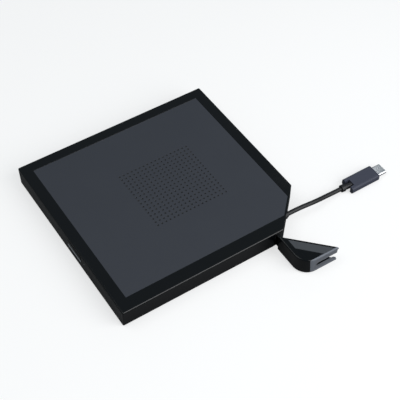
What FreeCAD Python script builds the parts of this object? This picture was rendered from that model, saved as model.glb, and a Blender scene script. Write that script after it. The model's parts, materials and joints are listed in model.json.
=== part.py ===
"""External slim disc drive with a loading tray and a hinged cord door, in millimetres.

X is the width, Y the depth with the tray front at its low end, Z is up. The origin lies
on the surface that the feet stand on, under the middle of the case.
"""
import FreeCAD, Part
import math
import os
from types import SimpleNamespace

import Sketcher
from FreeCAD import Placement, Rotation, Vector

SIZES = {
    # Case
    "case_width": 137.2,
    "case_depth": 142.0,
    "case_thickness": 13.0,
    "foot_height": 1.5,
    "side_inset": 0.6,
    "side_wall": 2.3,
    "rear_wall": 1.6,
    "roof": 1.8,
    "floor_thickness": 1.5,
    "edge_round": 0.9,
    "corner_across": 27.5,
    "corner_along": 26.55,
    "shell_gap": 0.1,
    "cut_past": 9.0,
    "nearly_half": 0.98,
    # Recessed panel on the roof
    "panel_depth": 0.8,
    "panel_drop": 0.05,
    "margin_front": 7.4,
    "margin_rear": 7.9,
    "margin_left": 7.9,
    "margin_right": 9.1,
    "margin_corner": 1.0,
    "dot_radius": 0.65,
    "dot_pitch": 3.0,
    "dot_columns": 17,
    "dot_rows": 18,
    "dot_front": -19.0,
    "dot_left": -25.0,
    # Walls round the door niche
    "niche_setback": 1.2,
    "niche_wall": 1.5,
    "niche_side_wall": 0.6,
    "niche_rib": 1.2,
    # Feet and case screws
    "foot_radius": 4.5,
    "foot_recess": 0.5,
    "foot_side": 12.6,
    "foot_front": 11.0,
    "foot_rear": 15.0,
    "foot_by_corner": 0.9,
    "foot_corner_back": 19.0,
    "boss_radius": 2.2,
    "boss_rear": 7.3,
    "boss_left": 10.6,
    "boss_right": 5.6,
    "screw_radius": 0.9,
    "screw_head_radius": 1.8,
    "screw_head": 0.8,
    "screw_length": 6.0,
    "snap_width": 8.0,
    "snap_thickness": 0.9,
    "snap_height": 5.0,
    "snap_barb": 0.4,
    "snap_front": 27.0,
    "snap_rear": 53.0,
    "snap_lead": 1.2,
    "snap_ledge": 0.2,
    # Cord door
    "hinge_inset": 1.95,
    "hinge_back": 4.1,
    "hinge_lean": 1.8,
    "hinge_height": 8.0,
    "pin_radius": 0.75,
    "pin_fit": 0.05,
    "pin_engagement": 0.9,
    "knuckle_radius": 1.6,
    "knuckle_gap": 0.3,
    "hinge_clearance": 2.25,
    "neck_width": 1.8,
    "door_gap": 0.25,
    "door_raise": 0.7,
    "door_corner": 10.0,
    "door_wall": 1.6,
    "door_side_wall": 2.1,
    "door_roof": 1.6,
    "door_floor": 1.2,
    "door_open": 90.0,
    "inlay_depth": 0.6,
    "inlay_drop": 0.05,
    "inlay_gap": 0.1,
    "inlay_side": 3.5,
    "inlay_corner": 5.0,
    "inlay_rim": 1.0,
    "end_plate_inset": 0.3,
    "end_plate_reach": 9.2,
    "slot_height": 4.6,
    "slot_raise": 0.3,
    "slot_margin": 1.5,
    "catch_width": 3.0,
    "catch_reach": 1.1,
    "catch_thickness": 1.1,
    "catch_lean": 2.0,
    "catch_root": 1.2,
    "catch_root_back": 0.4,
    "neck_gap": 0.1,
    # Cord and plug
    "cord_radius": 1.5,
    "cord_height": 6.5,
    "cord_side": 13.9,
    "cord_rear": 13.0,
    "gland_radius": 2.6,
    "gland_tip_radius": 2.1,
    "gland_tip": 1.2,
    "gland_plate": 1.0,
    "gland_plate_half": 5.0,
    "gland_inner": 4.8,
    "neck_radius": 1.9,
    "neck_ring_radius": 2.5,
    "neck_ring": 2.5,
    "neck_sink": 0.5,
    "plug_width": 11.4,
    "plug_length": 23.0,
    "plug_thickness": 5.0,
    "plug_round": 1.6,
    "plug_distance": 50.0,
    "plug_notch_width": 5.6,
    "plug_notch": 3.2,
    "plug_socket": 2.0,
    "plug_shell_width": 8.34,
    "plug_shell_thickness": 2.56,
    "plug_shell_length": 6.65,
    "plug_shell_wall": 0.3,
    "plug_tongue_width": 6.6,
    "plug_tongue": 0.7,
    "plug_tongue_back": 0.8,
    "plug_shell_base": 0.6,
    # Disc mechanism
    "sheet": 0.6,
    "drive_side_gap": 4.6,
    "drive_height": 9.5,
    "drive_front_gap": 4.7,
    "drive_rear_gap": 13.4,
    "drive_corner_gap": 3.5,
    "mount_side": 7.0,
    "mount_front": 21.3,
    "mount_rear": 25.6,
    "mount_radius": 1.8,
    "mount_height": 0.6,
    "mount_screw_radius": 1.0,
    "groove_radius": 24.0,
    "groove_width": 2.0,
    "groove_depth": 0.2,
    # Rails
    "guide_height": 4.2,
    "guide_low": 2.0,
    "guide_depth": 1.5,
    "guide_back": 0.5,
    "guide_lip": 0.6,
    "rail_rear_gap": 19.6,
    "rail_front_gap": 4.3,
    "rail_fit": 0.15,
    "rail_tongue": 1.0,
    "rail_groove": 1.1,
    "tongue_fit": 0.15,
    # Tray
    "tray_side_gap": 3.7,
    "tray_plate": 3.2,
    "tray_low": 5.2,
    "tray_rear_gap": 9.6,
    "tray_corner": 20.0,
    "tray_skirt": 1.0,
    "tray_tongue": 1.2,
    "spindle_back": 66.0,
    "disc_overhang": 0.5,
    "disc_recess": 2.0,
    "small_recess_radius": 40.8,
    "small_recess": 0.5,
    "window_radius": 17.0,
    "window_half": 11.0,
    "window_gap": 1.7,
    "bezel_gap": 0.25,
    "bezel_thickness": 4.4,
    "bezel_wall": 1.6,
    "bezel_rim": 1.2,
    "bezel_roof": 0.8,
    "tab_inner": 30.0,
    "tab_outer": 56.0,
    "tab_gap": 0.2,
    # Eject button and its switch
    "button_left": 0.3,
    "button_right": 16.6,
    "button_low": 7.1,
    "button_high": 11.4,
    "button_gap": 0.2,
    "button_flange": 0.7,
    "button_flange_thickness": 0.6,
    "button_proud": 0.2,
    "button_travel": 0.8,
    "switch_width": 6.0,
    "switch_height": 3.6,
    "switch_depth": 1.1,
    "switch_tip": 2.0,
    "switch_gap": 0.05,
    "switch_board_gap": 0.9,
    "board_pocket_depth": 2.6,
    "front_board_left": -5.0,
    "front_board_right": 27.0,
    "front_board": 0.8,
    "light_x": 21.0,
    "light_radius": 0.6,
    "release_x": -12.0,
    "release_radius": 0.65,
    # Tray bottom cover
    "cover_lift": 0.4,
    "cover_sheet": 0.3,
    "cover_left": -21.0,
    "cover_side_gap": 6.3,
    "cover_front_gap": 3.3,
    "cover_rear_gap": 4.0,
    "cover_corner": 3.0,
    "cover_post_radius": 2.0,
    "cover_screw_radius": 0.7,
    "cover_screw_head": 1.4,
    "cover_post_inset": 4.0,
    # Traverse: X runs from the spindle out along the sled
    "sled_angle": -45.0,
    "frame_plate": 1.0,
    "frame_drop": 0.3,
    "frame_inner": 15.0,
    "frame_side_gap": 0.61,
    "frame_half": 14.0,
    "frame_wide": 19.0,
    "frame_step": 10.0,
    "frame_window_in": 13.0,
    "frame_end": 2.5,
    "frame_window_half": 10.0,
    "frame_beam": 1.0,
    "frame_wall_low": 4.8,
    "ear_radius": 2.8,
    "ear_inner_x": -17.0,
    "ear_outer": 12.0,
    "ear_low_y": -16.4,
    "ear_high_y": 21.0,
    "bushing_radius": 2.0,
    "bushing_waist": 1.5,
    "bushing_bore": 0.9,
    "bushing_flange": 0.3,
    "bushing_head": 0.5,
    "bushing_screw": 0.8,
    "rod_radius": 0.75,
    "rod_y": 12.0,
    "rod_height": 5.8,
    "rod_fit": 0.05,
    "rod_seat": 1.2,
    "sled_near": 23.5,
    "sled_back": 9.0,
    "sled_ahead": 3.6,
    "sled_half": 9.6,
    "sled_low": 4.7,
    "sled_high": 7.6,
    "sled_arm_low": 4.9,
    "sled_arm_high": 6.65,
    "sled_arm_length": 6.0,
    "sled_arm_reach": 14.2,
    "holder_length": 5.2,
    "holder_width": 6.4,
    "holder_low": 6.9,
    "holder_high": 8.5,
    "holder_gap": 0.4,
    "focus_travel": 0.4,
    "lens_radius": 1.7,
    "lens_height": 0.4,
    "feed_inset": 2.8,
    "feed_height": 6.2,
    "feed_radius": 0.9,
    "feed_fit": 0.1,
    "feed_motor_radius": 1.7,
    "feed_motor_length": 10.5,
    "nut_length": 4.0,
    "nut_half_height": 1.3,
    "nut_back": 1.0,
    "nut_wall": 0.7,
    "magnet_short": 0.3,
    "magnet_thickness": 1.4,
    "magnet_height": 0.7,
    "laser_back": 0.6,
    "laser_length": 4.0,
    "laser_inner": 2.0,
    "laser_outer": 6.0,
    "laser_height": 0.5,
    # Spindle motor
    "motor_plate_low": 4.4,
    "motor_plate": 0.35,
    "motor_plate_radius": 13.4,
    "motor_post_radius": 1.0,
    "motor_post_circle": 12.5,
    "bearing_radius": 2.2,
    "bearing_high": 6.6,
    "shaft_radius": 1.0,
    "shaft_fit": 0.03,
    "rotor_radius": 11.0,
    "rotor_low": 5.2,
    "rotor_high": 8.4,
    "rotor_wall": 0.5,
    "stator_radius": 9.8,
    "stator_core": 5.0,
    "stator_low": 5.3,
    "stator_high": 7.3,
    "stator_pole_width": 2.0,
    "stator_poles": 9,
    "turntable_radius": 13.0,
    "turntable": 0.8,
    "pad_thickness": 0.4,
    "pad_width": 2.0,
    "hub_radius": 7.4,
    "hub_top": 11.2,
    "claw_width": 4.6,
    "claw_slit": 0.5,
    # Boards behind and under the tray
    "board": 0.8,
    "board_lift": 0.4,
    "board_side_gap": 22.0,
    "board_corner_gap": 2.9,
    "board_front": 57.0,
    "board_rear": 2.1,
    "board_post_inset": 4.0,
    "chip_pitch": 17.0,
    "chip_first": 10.0,
    "chip_side": 11.0,
    "chip_height": 1.2,
    "small_chip_side": 7.0,
    "small_chip_height": 0.9,
    "chip_row": 9.0,
    "small_chip_row": 26.0,
    "standoff_radius": 2.0,
    "bridge_left": -24.0,
    "bridge_right": 30.0,
    "bridge_front": 10.8,
    "bridge_rear": 2.4,
    "bridge_overlap": 1.5,
    "bridge_chip": 5.0,
    "bridge_chip_inset": 2.5,
    "bridge_chip_pitch": 14.0,
    "bridge_post_inset": 3.0,
    "bridge_low": 4.2,
    "bridge_board": 1.0,
    "connector_left": -5.0,
    "connector_right": 28.0,
    "connector_low": 4.9,
    "connector_high": 8.4,
    "connector_gap": 0.1,
    "connector_raise": 0.4,
    "bridge_connector_margin": 1.0,
    "connector_depth": 3.6,
    "lead_thickness": 0.7,
    "lead_gap": 0.3,
    "lead_overlap": 0.5,
    "lead_low": 4.4,
    "lead_high": 6.2,
    "flex_width": 9.0,
    "flex_length": 40.0,
    "flex_thickness": 0.15,
    "flex_socket": 3.0,
    "flex_socket_height": 1.0,
    # Tray latch
    "latch_side": 30.0,
    "latch_front": 16.3,
    "latch_swing": 14.0,
    "latch_low": 5.4,
    "latch_high": 6.4,
    "latch_half": 1.0,
    "latch_pin_radius": 0.9,
    "latch_pin_fit": 0.05,
    "lock_side": 4.0,
    "lock_front": 5.7,
    "lock_radius": 0.9,
    "lock_high": 7.0,
    "lock_clearance": 0.5,
    "hook_thickness": 1.6,
    "hook_reach": 4.4,
    "plunger_arm": 4.0,
    "plunger_radius": 0.8,
    "plunger_fit": 0.1,
    "plunger_gap": 0.25,
    "plunger_rest": 0.3,
    "solenoid_side": 10.0,
    "solenoid_length": 10.0,
    "solenoid_end": 3.0,
    "solenoid_half": 3.5,
    "solenoid_low": 4.6,
    # Tray ejector
    "ejector_side": 17.0,
    "ejector_half": 4.0,
    "ejector_length": 6.0,
    "ejector_end": 0.8,
    "ejector_wall": 0.3,
    "ejector_bore": 1.7,
    "ejector_rod": 1.1,
    "ejector_head": 1.6,
    "ejector_height": 9.7,
    "ejector_gap": 0.3,
    "spring_wire": 0.4,
    "spring_fit": 0.1,
}

# How far from its exit the cord turns on its way to the plug, and where it ends
CORD_TURNS = ((0.0, 9.2, 0.0), (1.1, 20.4, -0.1), (-0.3, 31.6, -2.9))
CORD_END = (-0.67, 45.6, -3.97)


class Term:
    """A size as a number, with the text that binds a property to the sheet."""

    def __init__(self, text, value):
        self.text = text
        self.value = value

    def __add__(self, other):
        return Term(f"({self.text} + {text_of(other)})", self.value + number(other))

    def __radd__(self, other):
        return Term(f"({text_of(other)} + {self.text})", number(other) + self.value)

    def __sub__(self, other):
        return Term(f"({self.text} - {text_of(other)})", self.value - number(other))

    def __rsub__(self, other):
        return Term(f"({text_of(other)} - {self.text})", number(other) - self.value)

    def __mul__(self, other):
        return Term(f"({self.text} * {text_of(other)})", self.value * number(other))

    def __rmul__(self, other):
        return Term(f"({text_of(other)} * {self.text})", number(other) * self.value)

    def __truediv__(self, other):
        return Term(f"({self.text} / {text_of(other)})", self.value / number(other))

    def __neg__(self):
        return Term(f"(0 - {self.text})", -self.value)


def number(value):
    return value.value if isinstance(value, Term) else float(value)


def text_of(value):
    return value.text if isinstance(value, Term) else repr(float(value))


def root(term):
    return Term(f"sqrt({term.text})", math.sqrt(term.value))


def sine(term):
    return Term(f"sin({term.text})", math.sin(math.radians(term.value)))


def cosine(term):
    return Term(f"cos({term.text})", math.cos(math.radians(term.value)))


doc = FreeCAD.newDocument("SlimDiscDrive")
sheet = doc.addObject("Spreadsheet::Sheet", "Sizes")
for row, (alias, value) in enumerate(SIZES.items(), start=1):
    sheet.set(f"A{row}", alias)
    sheet.set(f"B{row}", str(value))
    sheet.setAlias(f"B{row}", alias)
doc.recompute()
S = SimpleNamespace(**{alias: Term("Sizes." + alias, value) for alias, value in SIZES.items()})


def bind(thing, path, value):
    """Bind one property to the sheet, or set it when it is a bare number."""
    thing.setExpression(path, text_of(value))


# Outlines: a list of corners (x, y) or (x, y, radius), or a Circle
class Circle:
    def __init__(self, x, y, radius):
        self.x = x
        self.y = y
        self.radius = radius


def rectangle(x0, x1, y0, y1, radius=None):
    corners = [(x0, y0), (x1, y0), (x1, y1), (x0, y1)]
    return [corner if radius is None else corner + (radius,) for corner in corners]


def fix(sketch, kind, *what):
    """Add a constraint whose last value may be bound to the sheet."""
    value = what[-1]
    index = sketch.addConstraint(Sketcher.Constraint(kind, *what[:-1], number(value)))
    if isinstance(value, Term):
        bind(sketch, f"Constraints[{index}]", value)


def draw_circle(sketch, circle):
    centre = Vector(number(circle.x), number(circle.y), 0)
    line = sketch.addGeometry(Part.Circle(centre, Vector(0, 0, 1), number(circle.radius)))
    fix(sketch, "DistanceX", line, 3, circle.x)
    fix(sketch, "DistanceY", line, 3, circle.y)
    fix(sketch, "Radius", line, circle.radius)


def corner_arc(before, at, after, radius):
    """The two tangent points and the centre of a rounded corner."""
    to_before = (before - at).normalize()
    to_after = (after - at).normalize()
    half = to_before.getAngle(to_after) / 2
    start = at + to_before * (radius / math.tan(half))
    end = at + to_after * (radius / math.tan(half))
    middle = (to_before + to_after).normalize()
    return start, end, at + middle * (radius / math.sin(half))


def draw_outline(sketch, corners):
    """Draw a closed outline, with an arc at each corner that has a radius."""
    count = len(corners)
    points = [Vector(number(corner[0]), number(corner[1]), 0) for corner in corners]
    ends = []
    for i, corner in enumerate(corners):
        if len(corner) == 3:
            ends.append(corner_arc(points[i - 1], points[i], points[(i + 1) % count], number(corner[2])))
        else:
            ends.append((points[i], points[i], None))
    lines = []
    for i in range(count):
        line = Part.LineSegment(ends[i][1], ends[(i + 1) % count][0])
        lines.append(sketch.addGeometry(line))
    for i, corner in enumerate(corners):
        arriving = lines[i - 1]
        leaving = lines[i]
        if len(corner) == 2:
            sketch.addConstraint(Sketcher.Constraint("Coincident", arriving, 2, leaving, 1))
            fix(sketch, "DistanceX", leaving, 1, corner[0])
            fix(sketch, "DistanceY", leaving, 1, corner[1])
            continue
        start, end, centre = ends[i]
        turn = (points[i] - points[i - 1]).cross(points[(i + 1) % count] - points[i]).z
        first, last = (start, end) if turn > 0 else (end, start)
        circle = Part.Circle(centre, Vector(0, 0, 1), number(corner[2]))
        arc = Part.ArcOfCircle(circle, circle.parameter(first), circle.parameter(last))
        arc = sketch.addGeometry(arc)
        arrives, leaves = (1, 2) if turn > 0 else (2, 1)
        sketch.addConstraint(Sketcher.Constraint("Tangent", arriving, 2, arc, arrives))
        sketch.addConstraint(Sketcher.Constraint("Tangent", arc, leaves, leaving, 1))
        fix(sketch, "Radius", arc, corner[2])
        point = sketch.addGeometry(Part.Point(points[i]), True)
        sketch.addConstraint(Sketcher.Constraint("PointOnObject", point, 1, arriving))
        sketch.addConstraint(Sketcher.Constraint("PointOnObject", point, 1, leaving))
        fix(sketch, "DistanceX", point, 1, corner[0])
        fix(sketch, "DistanceY", point, 1, corner[1])


# A sketch on XY looks up, one on XZ looks to the front and one on YZ to the right
PLANE_SIGN = {"XY": 1, "XZ": -1, "YZ": 1}


def draw(body, name, plane, outlines, offset):
    """A sketch on one of the body's own origin planes, moved along its normal."""
    sketch = body.newObject("Sketcher::SketchObject", f"{body.Name}_{name}_sketch")
    planes = [item for item in body.Origin.OriginFeatures if item.Role == plane + "_Plane"]
    sketch.AttachmentSupport = [(planes[0], "")]
    sketch.MapMode = "FlatFace"
    bind(sketch, "AttachmentOffset.Base.z", offset * PLANE_SIGN[plane])
    for outline in outlines:
        if isinstance(outline, Circle):
            draw_circle(sketch, outline)
        else:
            draw_outline(sketch, outline)
    sketch.Visibility = False
    return sketch


def new_body(name):
    body = doc.addObject("PartDesign::Body", name)
    body.Label = name
    body.AllowCompound = True
    return body


def pad(body, name, plane, outlines, low, high):
    """Add the outlines as a slab from low to high along the plane's axis."""
    start = low if PLANE_SIGN[plane] > 0 else high
    sketch = draw(body, name, plane, outlines, start)
    feature = body.newObject("PartDesign::Pad", f"{body.Name}_{name}")
    feature.Profile = sketch
    bind(feature, "Length", high - low)
    return feature


def pocket(body, name, plane, outlines, low, high):
    """Cut the outlines away from low to high, and check that something went."""
    doc.recompute()
    before = body.Shape.Volume
    start = high if PLANE_SIGN[plane] > 0 else low
    sketch = draw(body, name, plane, outlines, start)
    feature = body.newObject("PartDesign::Pocket", f"{body.Name}_{name}")
    feature.Profile = sketch
    bind(feature, "Length", high - low)
    doc.recompute()
    if not body.Shape.Volume < before:
        raise RuntimeError(f"{feature.Name} cuts nothing")
    return feature


def round_edges(body, name, radius, chosen):
    """Round the edges that the test chosen picks."""
    doc.recompute()
    tip = body.Tip
    names = [f"Edge{i}" for i, edge in enumerate(tip.Shape.Edges, start=1) if chosen(edge)]
    if not names:
        raise RuntimeError(f"{body.Name} {name} finds no edge")
    feature = body.newObject("PartDesign::Fillet", f"{body.Name}_{name}")
    feature.Base = (tip, names)
    bind(feature, "Radius", radius)
    doc.recompute()
    return feature


def block(name, x0, x1, y0, y1, z0, z1):
    box = doc.addObject("Part::Box", name)
    for axis, low in (("x", x0), ("y", y0), ("z", z0)):
        bind(box, "Placement.Base." + axis, low)
    for side, length in (("Length", x1 - x0), ("Width", y1 - y0), ("Height", z1 - z0)):
        bind(box, side, length)
    return box


def rod(name, x, y, z0, z1, radius):
    """An upright cylinder."""
    cylinder = doc.addObject("Part::Cylinder", name)
    for axis, place in (("x", x), ("y", y), ("z", z0)):
        bind(cylinder, "Placement.Base." + axis, place)
    bind(cylinder, "Radius", radius)
    bind(cylinder, "Height", z1 - z0)
    return cylinder


def joined(name, pieces):
    fuse = doc.addObject("Part::MultiFuse", name)
    fuse.Shapes = pieces
    return fuse


def gathered(name, pieces):
    """Separate solids that share one node."""
    group = doc.addObject("Part::Compound", name)
    group.Links = pieces
    return group


def within(value, target, slack=0.05):
    return abs(value - number(target)) < slack


# Levels
floor_low = S.foot_height
floor_top = S.foot_height + S.floor_thickness
top = S.foot_height + S.case_thickness
roof_low = top - S.roof
drive_low = floor_top
drive_top = drive_low + S.drive_height
pan_top = drive_low + S.sheet
wall_top = drive_top - S.sheet
panel_low = top - S.panel_depth

# Case in plan
half_width = S.case_width / 2
front = -(S.case_depth / 2)
rear = S.case_depth / 2
inner_x = half_width - S.side_wall
inner_rear = rear - S.rear_wall
corner_length = root(S.corner_across * S.corner_across + S.corner_along * S.corner_along)

# The slanted corner runs from (half_width, corner_y) to (corner_x, rear)
corner_y = rear - S.corner_along
corner_x = half_width - S.corner_across


def slant_y(x, inward):
    """Where the corner line, moved inward by a distance, crosses this X."""
    at_edge = corner_y - inward * corner_length / S.corner_across
    return at_edge + (half_width - x) * S.corner_along / S.corner_across


def slant_x(y, inward):
    """Where the corner line, moved inward by a distance, crosses this Y."""
    at_edge = corner_x - inward * corner_length / S.corner_along
    return at_edge + (rear - y) * S.corner_across / S.corner_along


past_side = half_width + S.cut_past
past_rear = rear + S.cut_past
before_corner = corner_x - S.cut_past


def outside_corner(inward):
    """The outline of everything on the outer side of the moved corner line."""
    return [
        (past_side, slant_y(past_side, inward)),
        (past_side, past_rear),
        (slant_x(past_rear, inward), past_rear),
    ]


# Places in the case, from its sides, its ends and its slanted corner
foot_x = half_width - S.foot_side
foot_front_y = front + S.foot_front
foot_rear_y = rear - S.foot_rear
foot_corner_x = corner_x + S.foot_by_corner
foot_corner_y = rear - S.foot_corner_back
boss_y = rear - S.boss_rear
boss_left_x = -half_width + S.boss_left
boss_right_x = corner_x - S.boss_right
snap_places = (front + S.snap_front, rear - S.snap_rear)
cord_x = half_width - S.cord_side
cord_y = rear - S.cord_rear
plug_rear_y = cord_y + S.plug_distance
bridge_front_y = rear - S.bridge_front
bridge_rear_y = rear - S.bridge_rear

# Places in the disc mechanism, from its own sides and ends
drive_half = half_width - S.drive_side_gap
drive_front_y = front + S.drive_front_gap
drive_rear_y = rear - S.drive_rear_gap
drive_inward = S.niche_setback + S.niche_wall + S.drive_corner_gap
mount_x = drive_half - S.mount_side
mount_front_y = drive_front_y + S.mount_front
mount_rear_y = drive_rear_y - S.mount_rear
rail_front_y = drive_front_y + S.rail_front_gap
rail_rear_y = drive_rear_y - S.rail_rear_gap
tray_half = drive_half - S.tray_side_gap
tray_rear_y = drive_rear_y - S.tray_rear_gap
spindle_y = front + S.spindle_back
board_left = -drive_half + S.board_side_gap
board_front_y = rear - S.board_front
board_rear_y = drive_rear_y - S.board_rear
board_right = slant_x(board_rear_y, drive_inward + S.board_corner_gap)
flex_right = board_left + S.flex_width
cover_right = tray_half - S.cover_side_gap
cover_front_y = drive_front_y + S.cover_front_gap
cover_rear_y = board_front_y - S.cover_rear_gap
latch_x = -drive_half + S.latch_side
latch_y = drive_front_y + S.latch_front
lock_x = latch_x + S.lock_side
lock_y = drive_front_y + S.lock_front
solenoid_left = -drive_half + S.solenoid_side
solenoid_right = solenoid_left + S.solenoid_length
ejector_x = -drive_half + S.ejector_side
ejector_back = drive_rear_y - S.sheet
ejector_front_y = ejector_back - S.ejector_length

# The traverse reaches as far out as the tray's side lets its corner go
corner_room = tray_half - S.tray_skirt - S.frame_side_gap
frame_outer = (corner_room + S.frame_wide * sine(S.sled_angle)) / cosine(S.sled_angle)
frame_window_out = frame_outer - S.frame_end
window_reach = frame_outer - S.window_gap
ear_outer_x = frame_outer - S.ear_outer
feed_y = S.frame_wide - S.feed_inset

# Hinge of the cord door: its axis leans outwards with the side of the case
hinge_x = half_width - S.hinge_inset
hinge_y = corner_y - S.hinge_back
door_low = floor_low + S.door_raise
knuckle_low = floor_top + S.knuckle_gap
knuckle_high = roof_low - S.knuckle_gap
wall_end_y = hinge_y - S.hinge_clearance


def hinge_point(height):
    """The hinge axis at a height, as X, Y and Z."""
    rise = height - S.hinge_height
    return hinge_x + rise * sine(S.hinge_lean), hinge_y, S.hinge_height + rise * cosine(S.hinge_lean)


def lean_sketch(sketch, height):
    """Set a sketch square to the hinge axis, with its origin on the axis."""
    sketch.AttachmentOffset = Placement(Vector(), Rotation(Vector(0, 1, 0), S.hinge_lean.value))
    for axis, place in zip("xyz", hinge_point(height)):
        bind(sketch, "AttachmentOffset.Base." + axis, place)
    bind(sketch, "AttachmentOffset.Rotation.Angle", S.hinge_lean)


def swung_open():
    """The turn that takes the closed door to where it rests open."""
    lean = math.radians(S.hinge_lean.value)
    axis = Vector(math.sin(lean), 0, math.cos(lean))
    centre = Vector(hinge_x.value, hinge_y.value, S.hinge_height.value)
    return Placement(Vector(), Rotation(axis, -S.door_open.value), centre)


def top_shell():
    """Roof, both sides and the rear, with a recess for the panel."""
    body = new_body("top_shell")
    lean = half_width - S.side_inset
    profile = [
        (-lean, floor_low),
        (lean, floor_low),
        (half_width, top, S.edge_round),
        (-half_width, top, S.edge_round),
    ]
    pad(body, "outer", "XZ", [profile], front, rear)
    inside = rectangle(-inner_x, inner_x, front - 1, inner_rear)
    pocket(body, "inside", "XY", [inside], floor_low - 1, roof_low)
    pocket(body, "corner", "XY", [outside_corner(0)], floor_low - 1, top + 1)
    gap = rectangle(inner_x - 1, half_width + 1, wall_end_y, corner_y + 3)
    pocket(body, "hinge_gap", "XY", [gap], floor_low - 1, roof_low)
    panel = panel_outline(0)
    pocket(body, "panel_recess", "XY", [panel], panel_low, top + 1)
    posts = [Circle(x, boss_y, S.boss_radius) for x in (boss_left_x, boss_right_x)]
    pad(body, "bosses", "XY", posts, floor_top, roof_low)
    bores = [Circle(x, boss_y, S.screw_radius) for x in (boss_left_x, boss_right_x)]
    pocket(body, "boss_bores", "XY", bores, floor_top - 1, floor_low + S.screw_head + S.screw_length)
    notches = []
    for side in (-1, 1):
        for middle in snap_places:
            inner = inner_x - 1
            outer = inner_x + S.snap_barb + S.shell_gap
            x0, x1 = (inner, outer) if side > 0 else (-outer, -inner)
            half = S.snap_width / 2 + S.shell_gap
            notches.append(rectangle(x0, x1, middle - half, middle + half))
    snap_top = floor_top + S.snap_height
    notch_low = snap_top - S.snap_lead - 2 * S.snap_ledge
    pocket(body, "snap_notches", "XY", notches, notch_low, snap_top + S.shell_gap)
    socket = draw(body, "pin_socket", "XY", [Circle(0, 0, S.pin_radius)], 0)
    lean_sketch(socket, roof_low + S.pin_engagement)
    hole = body.newObject("PartDesign::Pocket", "top_shell_pin_socket")
    hole.Profile = socket
    bind(hole, "Length", S.pin_engagement + 1)
    doc.recompute()

    def is_end_edge(edge):
        box = edge.BoundBox
        across = box.XLength > 5 and box.YLength < 0.01 and box.ZLength < 0.01
        return across and within(box.ZMax, top, 0.01) and within(abs(box.YMax), rear)

    round_edges(body, "end_round", S.edge_round, is_end_edge)
    return body


def panel_outline(gap):
    """The panel's outline on the roof, drawn in by a gap."""
    left = -half_width + S.margin_left + gap
    right = half_width - S.margin_right - gap
    low = front + S.margin_front + gap
    high = rear - S.margin_rear - gap
    inward = S.margin_corner + gap
    return [
        (left, low),
        (right, low),
        (right, slant_y(right, inward)),
        (slant_x(high, inward), high),
        (left, high),
    ]


def top_panel():
    """Matte inlay panel with a plain grid of blind dots."""
    body = new_body("top_panel")
    pad(body, "plate", "XY", [panel_outline(S.shell_gap)], panel_low, top - S.panel_drop)
    doc.recompute()
    before = body.Shape.Volume
    first = Circle(S.dot_left, S.dot_front, S.dot_radius)
    dot = pocket(body, "dot", "XY", [first], panel_low - 1, top + 1)
    pattern = body.newObject("PartDesign::MultiTransform", "top_panel_dots")
    pattern.Originals = [dot]
    steps = []
    for axis, count in (("H_Axis", S.dot_columns), ("V_Axis", S.dot_rows)):
        step = doc.addObject("PartDesign::LinearPattern", "top_panel_" + axis.lower())
        step.Direction = (dot.Profile[0], [axis])
        bind(step, "Length", (count - 1) * S.dot_pitch)
        bind(step, "Occurrences", count)
        body.addObject(step)
        steps.append(step)
    pattern.Transformations = steps
    body.Tip = pattern
    doc.recompute()
    one_dot = math.pi * S.dot_radius.value ** 2 * (S.panel_depth.value - S.panel_drop.value)
    dots = round((before - body.Shape.Volume) / one_dot)
    if dots != S.dot_columns.value * S.dot_rows.value:
        raise RuntimeError(f"the panel has {dots} dots")
    return body


def feet_places():
    return [
        (-foot_x, foot_front_y),
        (foot_x, foot_front_y),
        (-foot_x, foot_rear_y),
        (foot_corner_x, foot_corner_y),
    ]


def drive_mounts():
    return [(x, y) for x in (-mount_x, mount_x) for y in (mount_front_y, mount_rear_y)]


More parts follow.
